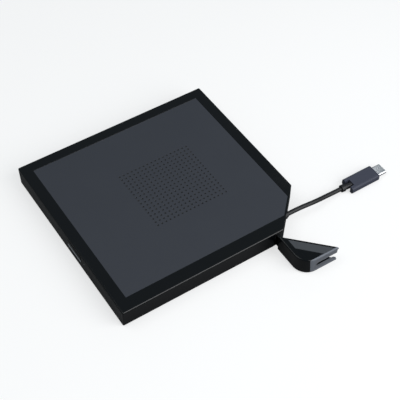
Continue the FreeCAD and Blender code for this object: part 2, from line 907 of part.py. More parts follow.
def bottom_shell():
    """Floor with the wall behind the door niche, snap hooks and screw holes."""
    body = new_body("bottom_shell")
    side = inner_x - S.shell_gap
    edge = half_width - S.side_inset - S.shell_gap
    rear_edge = inner_rear - S.shell_gap
    floor = [
        (-side, front),
        (side, front),
        (side, wall_end_y + S.shell_gap),
        (edge, wall_end_y + S.shell_gap),
        (edge, slant_y(edge, 0)),
        (slant_x(rear_edge, 0), rear_edge),
        (-side, rear_edge),
    ]
    pad(body, "floor", "XY", [floor], floor_low, floor_top)
    chassis_side = drive_half + S.shell_gap
    outer = chassis_side + S.niche_side_wall
    outside = S.niche_setback
    inside = S.niche_setback + S.niche_wall
    rib_high = wall_end_y - S.shell_gap
    wall = [
        (side, rib_high - S.niche_rib),
        (side, rib_high),
        (outer, rib_high),
        (outer, slant_y(outer, outside)),
        (slant_x(rear_edge, outside), rear_edge),
        (slant_x(rear_edge, inside), rear_edge),
        (chassis_side, slant_y(chassis_side, inside)),
        (chassis_side, rib_high - S.niche_rib),
    ]
    pad(body, "niche_wall", "XY", [wall], floor_top, roof_low - S.shell_gap)
    hooks = []
    snap_top = floor_top + S.snap_height
    for sign in (-1, 1):
        x_out = sign * side
        x_in = sign * (side - S.snap_thickness)
        hooks.append([
            (x_in, floor_top),
            (x_out, floor_top),
            (x_out, snap_top - S.snap_lead - S.snap_ledge),
            (sign * (side + S.snap_barb), snap_top - S.snap_lead),
            (x_out, snap_top),
            (x_in, snap_top),
        ])
    for name, middle in zip(("front", "rear"), snap_places):
        half = S.snap_width / 2
        pad(body, "hooks_" + name, "XZ", hooks, middle - half, middle + half)
    recesses = [Circle(x, y, S.foot_radius + S.shell_gap) for x, y in feet_places()]
    pocket(body, "foot_recesses", "XY", recesses, floor_low - 1, floor_low + S.foot_recess)
    case_holes = [(boss_left_x, boss_y), (boss_right_x, boss_y)]
    holes = [Circle(x, y, S.screw_radius) for x, y in case_holes]
    holes += [Circle(x, y, S.mount_screw_radius) for x, y in drive_mounts()]
    pocket(body, "screw_holes", "XY", holes, floor_low - 1, floor_top + 1)
    heads = [Circle(x, y, S.screw_head_radius) for x, y in case_holes + drive_mounts()]
    pocket(body, "head_recesses", "XY", heads, floor_low - 1, floor_low + S.screw_head)
    bore = [Circle(cord_x, S.cord_height, S.gland_radius)]
    pocket(body, "gland_hole", "XZ", bore, cord_y - S.cut_past, cord_y + S.cut_past)
    socket = draw(body, "pin_socket", "XY", [Circle(0, 0, S.pin_radius)], 0)
    lean_sketch(socket, floor_top + 1)
    hole = body.newObject("PartDesign::Pocket", "bottom_shell_pin_socket")
    hole.Profile = socket
    bind(hole, "Length", S.pin_engagement + 1)
    doc.recompute()
    return body


def rubber_feet():
    feet = []
    for i, (x, y) in enumerate(feet_places(), start=1):
        feet.append(rod(f"foot_{i}", x, y, 0 * S.foot_height, floor_low + S.foot_recess, S.foot_radius))
    return gathered("rubber_feet", feet)


def pan_screw(name, x, y, head_low, head, head_radius, radius, end):
    """A pan-head screw that stands on its head."""
    cap = rod(name + "_head", x, y, head_low, head_low + head, head_radius)
    shank = rod(name + "_shank", x, y, head_low, end, radius)
    return joined(name, [cap, shank])


def case_screws():
    screws = []
    for name, x in (("left", boss_left_x), ("right", boss_right_x)):
        end = floor_low + S.screw_length
        screws.append(pan_screw("case_screw_" + name, x, boss_y, floor_low, S.screw_head,
                                S.screw_head_radius, S.screw_radius, end))
    return gathered("case_screws", screws)


def drive_screws():
    screws = []
    for i, (x, y) in enumerate(drive_mounts(), start=1):
        end = pan_top + S.mount_height
        screws.append(pan_screw(f"drive_screw_{i}", x, y, floor_low, S.screw_head,
                                S.screw_head_radius, S.mount_screw_radius, end))
    return gathered("drive_screws", screws)


def hinge_pin():
    pin = doc.addObject("Part::Cylinder", "hinge_pin")
    pin.Label = "hinge_pin"
    pin.Placement = Placement(Vector(), Rotation(Vector(0, 1, 0), S.hinge_lean.value))
    low = floor_top - S.pin_engagement
    high = roof_low + S.pin_engagement
    for axis, place in zip("xyz", hinge_point(low)):
        bind(pin, "Placement.Base." + axis, place)
    bind(pin, "Placement.Rotation.Angle", S.hinge_lean)
    bind(pin, "Radius", S.pin_radius)
    bind(pin, "Height", high - low)
    return pin


def door_shell():
    """The hollow corner door, drawn closed and then swung open on its pin."""
    body = new_body("door_shell")
    far_before = before_corner - S.cut_past
    before_door = corner_y - S.cut_past
    side_foot = half_width - S.side_inset * (top - door_low) / S.case_thickness
    profile = [
        (before_corner, door_low),
        (side_foot, door_low),
        (half_width, top),
        (before_corner, top),
    ]
    pad(body, "outer", "XZ", [profile], corner_y - 2, rear)
    inner_side = [
        (far_before, slant_y(far_before, -S.door_gap)),
        (far_before, before_door),
        (past_side, before_door),
        (past_side, slant_y(past_side, -S.door_gap)),
    ]
    pocket(body, "slant", "XY", [inner_side], door_low - 1, top + 1)

    def is_far_corner(edge):
        box = edge.BoundBox
        upright = box.ZLength > 5 and box.XMin > corner_x.value + S.cut_past.value
        return upright and within(box.YMin, rear, 0.01)

    round_edges(body, "corner_round", S.door_corner, is_far_corner)

    def is_top_edge(edge):
        box = edge.BoundBox
        flat = within(box.ZMin, top, 0.01)
        slanted = within(box.YMax - box.YMin, S.corner_along, 1) and box.XLength > 9
        return flat and not slanted

    round_edges(body, "top_round", S.edge_round, is_top_edge)
    cavity_side = half_width - S.door_side_wall
    cavity_rear = rear - S.door_wall
    cavity = [
        (far_before, before_door),
        (cavity_side, before_door),
        (cavity_side, cavity_rear, S.door_corner - S.door_wall),
        (far_before, cavity_rear),
    ]
    cavity_low = door_low + S.door_floor
    cavity_high = top - S.door_roof
    pocket(body, "cavity", "XY", [cavity], cavity_low, cavity_high)
    end_gap = rectangle(far_before, half_width - S.end_plate_reach, cavity_rear - 1, rear + 1)
    pocket(body, "end_gap", "XY", [end_gap], cavity_low, cavity_high)
    pocket(body, "inlay_recess", "XY", [inlay_outline(0)], top - S.inlay_depth, top + 1)
    catch_x = slant_x(cavity_rear - 1, 0)
    inner_start = catch_x + S.catch_lean
    inner_end = inner_start + S.catch_width
    catch = [
        (catch_x, slant_y(catch_x, S.catch_reach)),
        (catch_x + S.catch_width, slant_y(catch_x + S.catch_width, S.catch_reach)),
        (inner_end, slant_y(inner_end, -S.catch_lean)),
        (inner_start, slant_y(inner_start, -S.catch_lean)),
    ]
    catch_high = roof_low - S.knuckle_gap
    catch_low = catch_high - S.catch_thickness
    pad(body, "catch", "XY", [catch], catch_low, catch_high)
    root_start = catch_x + S.catch_root
    root_end = root_start + S.catch_width
    root_back = -(S.door_gap + S.catch_root_back)
    root_of_catch = [
        (root_start, slant_y(root_start, root_back)),
        (root_end, slant_y(root_end, root_back)),
        (inner_end, slant_y(inner_end, -S.catch_lean)),
        (inner_start, slant_y(inner_start, -S.catch_lean)),
    ]
    pad(body, "catch_root", "XY", [root_of_catch], catch_low, cavity_high)
    neck = rectangle(hinge_x - S.neck_width / 2, hinge_x + S.neck_width / 2, hinge_y, corner_y + 4)
    pad(body, "neck", "XY", [neck], knuckle_low + S.neck_gap, knuckle_high - S.neck_gap)
    knuckle = draw(body, "knuckle", "XY", [Circle(0, 0, S.knuckle_radius)], 0)
    lean_sketch(knuckle, knuckle_low)
    ring = body.newObject("PartDesign::Pad", "door_shell_knuckle")
    ring.Profile = knuckle
    bind(ring, "Length", knuckle_high - knuckle_low)
    bore = draw(body, "bore", "XY", [Circle(0, 0, S.pin_radius + S.pin_fit)], 0)
    lean_sketch(bore, knuckle_high + 1)
    hole = body.newObject("PartDesign::Pocket", "door_shell_bore")
    hole.Profile = bore
    bind(hole, "Length", knuckle_high - knuckle_low + 2)
    doc.recompute()
    body.Placement = swung_open()
    return body


def inlay_outline(gap):
    """The matte inlay on the door's roof, in the closed door's place."""
    side = half_width - S.inlay_side - gap
    back = rear - S.inlay_rim - gap
    inward = -(S.door_gap + S.inlay_rim + gap)
    chord = half_width + rear - S.door_corner - (S.inlay_corner + gap) * root(Term("2", 2.0))
    return [
        (side, slant_y(side, inward)),
        (side, chord - side),
        (chord - back, back),
        (slant_x(back, inward), back),
    ]


def door_inlay():
    body = new_body("door_inlay")
    low = top - S.inlay_depth
    pad(body, "plate", "XY", [inlay_outline(S.inlay_gap)], low, top - S.inlay_drop)
    doc.recompute()
    body.Placement = swung_open()
    return body


def door_end_plate():
    """Matte plate in the door's rear face, with the slot that clears the cord."""
    body = new_body("door_end_plate")
    low = door_low + S.door_floor
    high = top - S.door_roof
    far = half_width - S.end_plate_reach
    face = rear - S.end_plate_inset
    near = slant_x(face, -(S.door_gap))
    back = rear - S.door_wall
    plate = [
        (slant_x(back, -(S.door_gap)), back),
        (far, back),
        (far, face),
        (near, face),
    ]
    pad(body, "plate", "XY", [plate], low, high)
    slot_end = cord_x + S.cord_radius + S.slot_margin
    middle = S.cord_height + S.slot_raise
    half = S.slot_height / 2
    slot = [
        (before_corner, middle - half),
        (slot_end, middle - half, half * S.nearly_half),
        (slot_end, middle + half, half * S.nearly_half),
        (before_corner, middle + half),
    ]
    pocket(body, "cord_slot", "XZ", [slot], rear - 4, rear + 1)
    body.Placement = swung_open()
    return body


def cord_gland():
    """Moulded strain relief that carries the cord through the niche wall."""
    body = new_body("cord_gland")
    start = cord_y - S.gland_inner
    round_part = [Circle(cord_x, S.cord_height, S.gland_radius)]
    pad(body, "sleeve", "XZ", round_part, start, cord_y - S.gland_tip)
    tip = [Circle(cord_x, S.cord_height, S.gland_tip_radius)]
    pad(body, "tip", "XZ", tip, cord_y - S.gland_tip, cord_y)
    wall_in = S.niche_setback + S.niche_wall
    plate_in = wall_in + S.gland_plate
    x0 = cord_x - S.gland_plate_half + 1
    x1 = cord_x + S.gland_plate_half
    plate = [
        (x0, slant_y(x0, wall_in)),
        (x0, slant_y(x0, plate_in)),
        (x1, slant_y(x1, plate_in)),
        (x1, slant_y(x1, wall_in)),
    ]
    reach = S.gland_radius + 0.5
    pad(body, "plate", "XY", [plate], S.cord_height - reach, S.cord_height + reach)
    return body


def cord_route():
    start = Vector(cord_x.value, cord_y.value, S.cord_height.value)
    return [start] + [start + Vector(*offset) for offset in (*CORD_TURNS, CORD_END)]


def tube(points, radius):
    """A tube along straight runs joined by tangent arcs, as large as the runs allow."""
    edges = []
    at = points[0]
    for before, turn, after in zip(points, points[1:], points[2:]):
        into = (turn - before).normalize()
        out = (after - turn).normalize()
        reach = 0.45 * min((turn - before).Length, (after - turn).Length)
        half = into.getAngle(out) / 2
        bend = reach / math.tan(half)
        print(f"cord bend radius {bend:.1f} at {turn.y:.1f}")
        start = turn - into * reach
        end = turn + out * reach
        middle = turn + (out - into).normalize() * (bend / math.cos(half) - bend)
        edges.append(Part.LineSegment(at, start).toShape())
        edges.append(Part.Arc(start, middle, end).toShape())
        at = end
    edges.append(Part.LineSegment(at, points[-1]).toShape())
    path = Part.Wire(edges)
    section = Part.Wire(Part.Circle(points[0], points[1] - points[0], radius).toShape())
    solid = path.makePipeShell([section], True, True)
    expected = math.pi * radius ** 2 * path.Length
    if abs(solid.Volume - expected) > 0.01 * expected:
        raise RuntimeError("the cord's volume is wrong")
    return solid


def cord():
    piece = doc.addObject("Part::Feature", "cord")
    piece.Shape = tube(cord_route(), S.cord_radius.value)
    return piece


def neck_line():
    """The start of the plug's neck on the cord, and its direction to the plug."""
    before, end = cord_route()[-2:]
    start = end - (end - before).normalize() * S.neck_sink.value
    target = Vector(cord_x.value, (plug_rear_y + S.plug_notch).value, S.plug_thickness.value / 2)
    return start, target - start


def plug_neck():
    """Strain relief between the cord and the plug, with a ring at its free end."""
    start, way = neck_line()
    length = way.Length + S.plug_socket.value
    ring = Part.makeCylinder(S.neck_ring_radius.value, S.neck_ring.value, start, way)
    stem = Part.makeCylinder(S.neck_radius.value, length, start, way)
    piece = doc.addObject("Part::Feature", "plug_neck")
    piece.Shape = ring.fuse(stem).removeSplitter()
    return piece


def plug_body():
    """Moulded plug, forked at its rear where the neck enters."""
    body = new_body("plug_body")
    half = S.plug_width / 2
    section = rectangle(cord_x - half, cord_x + half, 0 * half, S.plug_thickness,
                        S.plug_round)
    end = plug_rear_y + S.plug_length
    pad(body, "block", "XZ", [section], plug_rear_y, end)
    slot = S.plug_notch_width / 2
    notch = rectangle(cord_x - slot, cord_x + slot, plug_rear_y - 1,
                      plug_rear_y + S.plug_notch)
    pocket(body, "notch", "XY", [notch], 0 * half - 1, S.plug_thickness + 1)

    def is_end_edge(edge):
        box = edge.BoundBox
        return box.YLength < 0.01 and within(box.YMax, end, 0.01)

    round_edges(body, "nose_round", S.plug_round / 2, is_end_edge)
    start, way = neck_line()
    socket = body.newObject("PartDesign::SubtractiveCylinder", "plug_body_socket")
    bind(socket, "Radius", S.neck_radius)
    socket.Height = way.Length + S.plug_socket.value
    socket.Placement = Placement(start, Rotation(Vector(0, 0, 1), way))
    doc.recompute()
    return body


def plug_shell():
    """Rounded metal shell of the plug, open at its end, with its tongue."""
    body = new_body("plug_shell")
    middle = S.plug_thickness / 2
    start = plug_rear_y + S.plug_length
    end = start + S.plug_shell_length

    def section(inset, radius):
        half = S.plug_shell_width / 2 - inset
        rise = S.plug_shell_thickness / 2 - inset
        return rectangle(cord_x - half, cord_x + half, middle - rise, middle + rise,
                         radius)

    outer_round = S.plug_shell_thickness / 2 * S.nearly_half
    pad(body, "outer", "XZ", [section(0, outer_round)], start, end)
    wall = S.plug_shell_wall
    mouth = start + S.plug_shell_base
    pocket(body, "mouth", "XZ", [section(wall, outer_round - wall)], mouth, end + 1)
    half = S.plug_tongue_width / 2
    rise = S.plug_tongue / 2
    tongue = rectangle(cord_x - half, cord_x + half, middle - rise, middle + rise)
    pad(body, "tongue", "XZ", [tongue], mouth, end - S.plug_tongue_back)
    return body


# Disc mechanism
def drive_outline(inset):
    """The mechanism in plan, its rear corner cut beside the door niche."""
    side = drive_half - inset
    back = drive_rear_y - inset
    inward = drive_inward + inset
    return [
        (-side, drive_front_y),
        (side, drive_front_y),
        (side, slant_y(side, inward)),
        (slant_x(back, inward), back),
        (-side, back),
    ]


def board_standoffs():
    inset = S.board_post_inset
    return [(x, y) for x in (board_left + inset, board_right - inset)
            for y in (board_front_y + inset, board_rear_y - inset)]


def drive_chassis():
    """Folded steel pan with the threads for its screws."""
    body = new_body("drive_chassis")
    pad(body, "pan", "XY", [drive_outline(0)], drive_low, wall_top)
    inner = drive_outline(S.sheet)
    inner[0] = (inner[0][0], drive_front_y - 1)
    inner[1] = (inner[1][0], drive_front_y - 1)
    pocket(body, "inside", "XY", [inner], pan_top, wall_top + 1)
    mounts = [Circle(x, y, S.mount_radius) for x, y in drive_mounts()]
    pad(body, "threads", "XY", mounts, pan_top, pan_top + S.mount_height)
    feet = [Circle(x, y, S.standoff_radius) for x, y in board_standoffs()]
    pad(body, "standoffs", "XY", feet, pan_top, pan_top + S.board_lift)
    bores = [Circle(x, y, S.mount_screw_radius) for x, y in drive_mounts()]
    pocket(body, "thread_bores", "XY", bores, drive_low - 1, pan_top + S.mount_height + 1)
    gap = S.connector_gap
    opening = rectangle(S.connector_left - gap, S.connector_right + gap, S.connector_low - gap,
                        S.connector_high + gap)
    pocket(body, "connector_opening", "XZ", [opening], drive_rear_y - 2, drive_rear_y + 1)
    return body


def drive_cover():
    """Sheet lid of the mechanism, with a raised round over the disc."""
    body = new_body("drive_cover")
    pad(body, "sheet", "XY", [drive_outline(0)], wall_top, drive_top)
    ring = [Circle(0 * spindle_y, spindle_y, S.groove_radius),
            Circle(0 * spindle_y, spindle_y, S.groove_radius - S.groove_width)]
    pocket(body, "groove", "XY", ring, drive_top - S.groove_depth, drive_top + 1)
    return body


# Rails: guide on the chassis, slide in the guide, tongue of the tray in the slide
guide_out = drive_half - S.sheet
guide_in = guide_out - S.guide_depth
guide_low = drive_low + S.guide_low
guide_high = guide_low + S.guide_height
channel_low = guide_low + S.guide_lip
channel_high = guide_high - S.guide_lip
slide_out = guide_out - S.guide_back - S.rail_fit
slide_in = guide_in - S.rail_tongue
slide_low = channel_low + S.rail_fit
slide_high = channel_high - S.rail_fit
slide_middle = (slide_low + slide_high) / 2
groove_half = S.tray_tongue / 2 + S.tongue_fit


def mirrored(outline, sign):
    return [(sign * corner[0], *corner[1:]) for corner in outline]


def rail_guides():
    body = new_body("rail_guides")
    back_in = guide_out - S.guide_back
    channel = [
        (guide_in, guide_low),
        (guide_out, guide_low),
        (guide_out, guide_high),
        (guide_in, guide_high),
        (guide_in, channel_high),
        (back_in, channel_high),
        (back_in, channel_low),
        (guide_in, channel_low),
    ]
    both = [mirrored(channel, sign) for sign in (-1, 1)]
    pad(body, "channels", "XZ", both, rail_front_y, rail_rear_y)
    return body


def slide_rail(name, sign):
    """Telescoping slide, a channel that the tray's tongue runs in."""
    body = new_body(name)
    groove_out = slide_in + S.rail_groove
    channel = [
        (slide_in, slide_low),
        (slide_out, slide_low),
        (slide_out, slide_high),
        (slide_in, slide_high),
        (slide_in, slide_middle + groove_half),
        (groove_out, slide_middle + groove_half),
        (groove_out, slide_middle - groove_half),
        (slide_in, slide_middle - groove_half),
    ]
    pad(body, "channel", "XZ", [mirrored(channel, sign)], rail_front_y, rail_rear_y)
    return body


# Tray
tray_low = drive_low + S.tray_low
tray_high = tray_low + S.tray_plate
disc_floor = tray_high - S.disc_recess
bezel_back = front + S.bezel_thickness
bezel_low = floor_top + S.bezel_gap
bezel_high = roof_low - S.bezel_gap
bezel_half = inner_x - S.bezel_gap
bezel_inner_face = front + S.bezel_wall
switch_board_y = bezel_back + S.switch_board_gap
cover_low = pan_top + S.cover_lift
cover_high = cover_low + S.cover_sheet


def on_traverse(out, across):
    """A place on the traverse, out along the sled and across it, in plan."""
    turn = S.sled_angle
    x = out * cosine(turn) - across * sine(turn)
    y = spindle_y + out * sine(turn) + across * cosine(turn)
    return x, y


def cover_posts():
    inset = S.cover_post_inset
    return [(x, y) for x in (S.cover_left + inset, cover_right - inset)
            for y in (cover_front_y + inset, cover_rear_y - inset)]


def bushing_places():
    return [
        (S.ear_inner_x, 0 * S.ear_inner_x),
        (ear_outer_x, S.ear_low_y),
        (ear_outer_x, S.ear_high_y),
    ]


def tray():
    """Disc tray with its side tongues, disc recesses and traverse window."""
    body = new_body("tray")
    corner = S.tray_corner
    plate = [
        (-tray_half, bezel_back),
        (tray_half, bezel_back),
        (tray_half, tray_rear_y - corner),
        (tray_half - corner, tray_rear_y),
        (-tray_half + corner / 2, tray_rear_y),
        (-tray_half, tray_rear_y - corner / 2),
    ]
    pad(body, "plate", "XY", [plate], tray_low, tray_high)
    skirt_rear = tray_rear_y - corner
    skirt_in = tray_half - S.tray_skirt
    tongue_low = slide_middle - S.tray_tongue / 2
    tongue_high = slide_middle + S.tray_tongue / 2
    tongue_out = slide_in + S.rail_groove - S.tongue_fit
    skirt = [
        (skirt_in, guide_low),
        (tray_half, guide_low),
        (tray_half, tongue_low),
        (tongue_out, tongue_low),
        (tongue_out, tongue_high),
        (tray_half, tongue_high),
        (tray_half, tray_low),
        (skirt_in, tray_low),
    ]
    skirts = [mirrored(skirt, sign) for sign in (-1, 1)]
    pad(body, "skirts", "XZ", skirts, rail_front_y, skirt_rear)
    tabs = [rectangle(S.tab_inner, S.tab_outer, bezel_inner_face, bezel_back),
            rectangle(-S.tab_outer, -S.tab_inner, bezel_inner_face, bezel_back)]
    tab_high = bezel_high - S.bezel_roof
    pad(body, "tabs", "XY", tabs, tray_low, tab_high - S.tab_gap)
    disc = [Circle(0 * spindle_y, spindle_y, tray_half + S.disc_overhang)]
    pocket(body, "disc_recess", "XY", disc, disc_floor, tray_high + 1)
    small = [Circle(0 * spindle_y, spindle_y, S.small_recess_radius)]
    pocket(body, "small_recess", "XY", small, disc_floor - S.small_recess, tray_high)
    slot = [on_traverse(out, across) for out, across in (
        (0 * S.window_half, -S.window_half),
        (window_reach, -S.window_half),
        (window_reach, S.window_half),
        (0 * S.window_half, S.window_half))]
    pocket(body, "sled_window", "XY", [slot], tray_low - 1, tray_high + 1)
    hole = [Circle(0 * spindle_y, spindle_y, S.window_radius)]
    pocket(body, "spindle_window", "XY", hole, tray_low - 1, tray_high + 1)
    board_gap = rectangle(S.front_board_left - 1, S.front_board_right + 1, bezel_back - 1,
                          bezel_back + S.board_pocket_depth)
    pocket(body, "board_gap", "XY", [board_gap], tray_low - 1, tray_high + 1)
    posts = [Circle(x, y, S.cover_post_radius) for x, y in cover_posts()]
    pad(body, "cover_posts", "XY", posts, cover_high, tray_low)
    bores = [Circle(x, y, S.cover_screw_radius) for x, y in cover_posts()]
    pocket(body, "post_bores", "XY", bores, cover_high - 1, tray_low)
    pivot = [Circle(latch_x, latch_y, S.latch_pin_radius)]
    pad(body, "latch_pivot", "XY", pivot, S.latch_low, tray_low)
    frame_bores = [Circle(*on_traverse(x, y), S.bushing_bore) for x, y in bushing_places()]
    pocket(body, "frame_bores", "XY", frame_bores, tray_low - 1, tray_low + 0.9)
    return body


def tray_bezel():
    """Front of the tray, hollow behind, with the button's opening."""
    body = new_body("tray_bezel")
    face = rectangle(-bezel_half, bezel_half, bezel_low, bezel_high)
    pad(body, "block", "XZ", [face], front, bezel_back)
    rim = S.bezel_rim
    hollow = rectangle(-bezel_half + rim, bezel_half - rim, bezel_low + rim, bezel_high - S.bezel_roof)
    pocket(body, "hollow", "XZ", [hollow], bezel_inner_face, bezel_back + 1)
    gap = S.button_gap
    opening = rectangle(S.button_left - gap, S.button_right + gap, S.button_low - gap,
                        S.button_high + gap)
    light = Circle(S.light_x, (S.button_low + S.button_high) / 2, S.light_radius)
    release = Circle(S.release_x, (S.button_low + S.button_high) / 2, S.release_radius)
    pocket(body, "openings", "XZ", [opening, light, release], front - 1, bezel_inner_face + 1)
    return body


def eject_button():
    body = new_body("eject_button")
    bar = rectangle(S.button_left, S.button_right, S.button_low, S.button_high)
    flange_front = bezel_inner_face + 0.1
    flange_back = flange_front + S.button_flange_thickness
    pad(body, "bar", "XZ", [bar], front - S.button_proud, flange_back)
    reach = S.button_flange
    flange = rectangle(S.button_left - reach, S.button_right + reach, S.button_low - reach,
                       S.button_high)
    pad(body, "flange", "XZ", [flange], flange_front, flange_back)
    return body


def button_back():
    return bezel_inner_face + 0.1 + S.button_flange_thickness


def eject_switch():
    """Switch on the front board; its tip stops the button."""
    middle = (S.button_left + S.button_right) / 2
    height = (S.button_low + S.button_high) / 2
    half = S.switch_width / 2
    tip_end = button_back() + S.button_travel + S.switch_gap
    face = switch_board_y - S.switch_depth
    rise = S.switch_height / 2
    case = block("switch_case", middle - half, middle + half, face, switch_board_y,
                 height - rise, height + rise)
    reach = S.switch_tip / 2
    tip = block("switch_tip", middle - reach, middle + reach, tip_end, face,
                height - reach, height + reach)
    return joined("eject_switch", [case, tip])


def front_board():
    low = bezel_low + S.bezel_rim + 0.3
    return block("front_board", S.front_board_left, S.front_board_right, switch_board_y,
                 switch_board_y + S.front_board, low, tray_high - 0.3)


def light_guide():
    body = new_body("light_guide")
    height = (S.button_low + S.button_high) / 2
    pad(body, "pipe", "XZ", [Circle(S.light_x, height, S.light_radius)], front, switch_board_y)
    return body


def tray_bottom_cover():
    body = new_body("tray_bottom_cover")
    plate = rectangle(S.cover_left, cover_right, cover_front_y, cover_rear_y,
                      S.cover_corner)
    pad(body, "sheet", "XY", [plate], cover_low, cover_high)
    heads = [Circle(x, y, S.cover_screw_head) for x, y in cover_posts()]
    pocket(body, "screw_holes", "XY", heads, cover_low - 1, cover_high + 1)
    return body


def tray_screws():
    screws = []
    for i, (x, y) in enumerate(cover_posts(), start=1):
        screws.append(pan_screw(f"tray_screw_{i}", x, y, cover_low, S.cover_sheet,
                                S.cover_screw_head, S.cover_screw_radius, tray_low - 1))
    return gathered("tray_screws", screws)


# Traverse: everything here is drawn from the spindle and then turned into place
frame_high = tray_low - S.frame_drop
frame_low = frame_high - S.frame_plate
turntable_top = S.rotor_high + S.turntable
disc_plane = turntable_top + S.pad_thickness
sled_out = S.sled_near


def on_the_traverse(piece):
    """Turn a sub-part about the spindle so that X runs along the sled."""
    turn = Rotation(Vector(0, 0, 1), S.sled_angle.value)
    piece.Placement = Placement(Vector(0, spindle_y.value, 0), turn)
    bind(piece, "Placement.Base.y", spindle_y)
    bind(piece, "Placement.Rotation.Angle", S.sled_angle)
    return piece


def traverse_frame():
    body = new_body("traverse_frame")
    plate = [
        (-S.frame_inner, -S.frame_half),
        (frame_outer, -S.frame_half),
        (frame_outer, S.frame_wide),
        (S.frame_step, S.frame_wide),
        (S.frame_step, S.frame_half),
        (-S.frame_inner, S.frame_half),
    ]
    pad(body, "plate", "XY", [plate], frame_low, frame_high)
    ears = [Circle(x, y, S.ear_radius) for x, y in bushing_places()]
    pad(body, "ears", "XY", ears, frame_low, frame_high)
    walls = [rectangle(frame_window_out, frame_outer, -S.frame_half, S.frame_wide),
             rectangle(S.frame_step, S.frame_window_in, -S.frame_half, S.frame_wide)]
    pad(body, "end_walls", "XY", walls, S.frame_wall_low, frame_low)
    windows = [
        rectangle(S.frame_window_in, frame_window_out, -S.frame_window_half, S.frame_window_half),
        rectangle(S.frame_window_in, frame_window_out, S.frame_half, S.frame_wide - S.frame_beam),
    ]
    pocket(body, "windows", "XY", windows, S.frame_wall_low, frame_high + 1)
    spindle = [Circle(0 * S.rod_y, 0 * S.rod_y, S.rotor_radius + 0.5)]
    pocket(body, "spindle_hole", "XY", spindle, S.frame_wall_low, frame_high + 1)
    waists = [Circle(x, y, S.bushing_waist) for x, y in bushing_places()]
    pocket(body, "bushing_holes", "XY", waists, frame_low - 1, frame_high + 1)
    rods = [Circle(y, S.rod_height, S.rod_radius) for y in (-S.rod_y, S.rod_y)]
    rods.append(Circle(feed_y, S.feed_height, S.feed_radius + S.shaft_fit))
    seat_in = S.frame_window_in - S.rod_seat
    seat_out = frame_window_out + S.rod_seat
    pocket(body, "rod_seats", "YZ", rods, seat_in, seat_out)
    shaft = [Circle(feed_y, S.feed_height, S.feed_radius + S.shaft_fit)]
    pocket(body, "feed_hole", "YZ", shaft, S.frame_step - 1, S.frame_window_in)
    return on_the_traverse(body)


def damper_bushings():
    """Rubber bushings, waisted where they sit in the frame's ears."""
    body = new_body("damper_bushings")
    places = bushing_places()
    flange = S.bushing_flange
    pad(body, "waists", "XY", [Circle(x, y, S.bushing_waist) for x, y in places], frame_low - flange,
        tray_low)
    collars = [Circle(x, y, S.bushing_radius) for x, y in places]
    pad(body, "upper", "XY", collars, frame_high, tray_low)
    pad(body, "lower", "XY", collars, frame_low - flange, frame_low)
    bores = [Circle(x, y, S.bushing_bore) for x, y in places]
    pocket(body, "bores", "XY", bores, frame_low - 1, tray_low + 1)
    return on_the_traverse(body)


def traverse_screws():
    body = new_body("traverse_screws")
    places = bushing_places()
    head_high = frame_low - S.bushing_flange
    heads = [Circle(x, y, S.bushing_waist) for x, y in places]
    pad(body, "heads", "XY", heads, head_high - S.bushing_head, head_high)
    shanks = [Circle(x, y, S.bushing_bore) for x, y in places]
    pad(body, "shanks", "XY", shanks, head_high, tray_low + S.bushing_screw)
    return on_the_traverse(body)


def motor_base():
    """Plate and bearing of the spindle motor, on three posts under the frame."""
    body = new_body("motor_base")
    centre = 0 * S.rod_y
    plate_high = S.motor_plate_low + S.motor_plate
    disc = [Circle(centre, centre, S.motor_plate_radius)]
    pad(body, "plate", "XY", disc, S.motor_plate_low, plate_high)
    posts = []
    for step in range(3):
        angle = Term(str(60 + 120 * step), 60.0 + 120 * step)
        posts.append(Circle(S.motor_post_circle * cosine(angle), S.motor_post_circle * sine(angle),
                            S.motor_post_radius))
    pad(body, "posts", "XY", posts, plate_high, frame_low)
    pad(body, "bearing", "XY", [Circle(centre, centre, S.bearing_radius)], plate_high, S.bearing_high)
    bore = [Circle(centre, centre, S.shaft_radius + S.shaft_fit)]
    pocket(body, "bore", "XY", bore, plate_high, S.bearing_high + 1)
    return on_the_traverse(body)


def motor_stator():
    """Laminated core with its poles, pressed on the bearing."""
    body = new_body("motor_stator")
    centre = 0 * S.rod_y
    ring = [Circle(centre, centre, S.stator_core), Circle(centre, centre, S.bearing_radius)]
    pad(body, "core", "XY", ring, S.stator_low, S.stator_high)
    half = S.stator_pole_width / 2
    pole = [rectangle(S.stator_core - 1, S.stator_radius, -half, half)]
    first = pad(body, "pole", "XY", pole, S.stator_low, S.stator_high)
    doc.recompute()
    pattern = body.newObject("PartDesign::PolarPattern", "motor_stator_poles")
    pattern.Originals = [first]
    pattern.Axis = (first.Profile[0], ["N_Axis"])
    pattern.Angle = 360
    bind(pattern, "Occurrences", S.stator_poles)
    body.Tip = pattern
    doc.recompute()
    return on_the_traverse(body)


def motor_rotor():
    """Rotor cup with its shaft and the turntable on top."""
    body = new_body("motor_rotor")
    centre = 0 * S.rod_y
    pad(body, "drum", "XY", [Circle(centre, centre, S.rotor_radius)], S.rotor_low, S.rotor_high)
    inside = [Circle(centre, centre, S.rotor_radius - S.rotor_wall)]
    pocket(body, "inside", "XY", inside, S.rotor_low - 1, S.rotor_high - S.rotor_wall)
    shaft_low = S.motor_plate_low + S.motor_plate + 0.1
    pad(body, "shaft", "XY", [Circle(centre, centre, S.shaft_radius)], shaft_low, S.rotor_high)
    table = [Circle(centre, centre, S.turntable_radius)]
    pad(body, "turntable", "XY", table, S.rotor_high, turntable_top)
    return on_the_traverse(body)


def turntable_pad():
    """Rubber ring that the disc is clamped against."""
    body = new_body("turntable_pad")
    centre = 0 * S.rod_y
    ring = [Circle(centre, centre, S.turntable_radius),
            Circle(centre, centre, S.turntable_radius - S.pad_width)]
    pad(body, "ring", "XY", ring, turntable_top, disc_plane)
    return on_the_traverse(body)


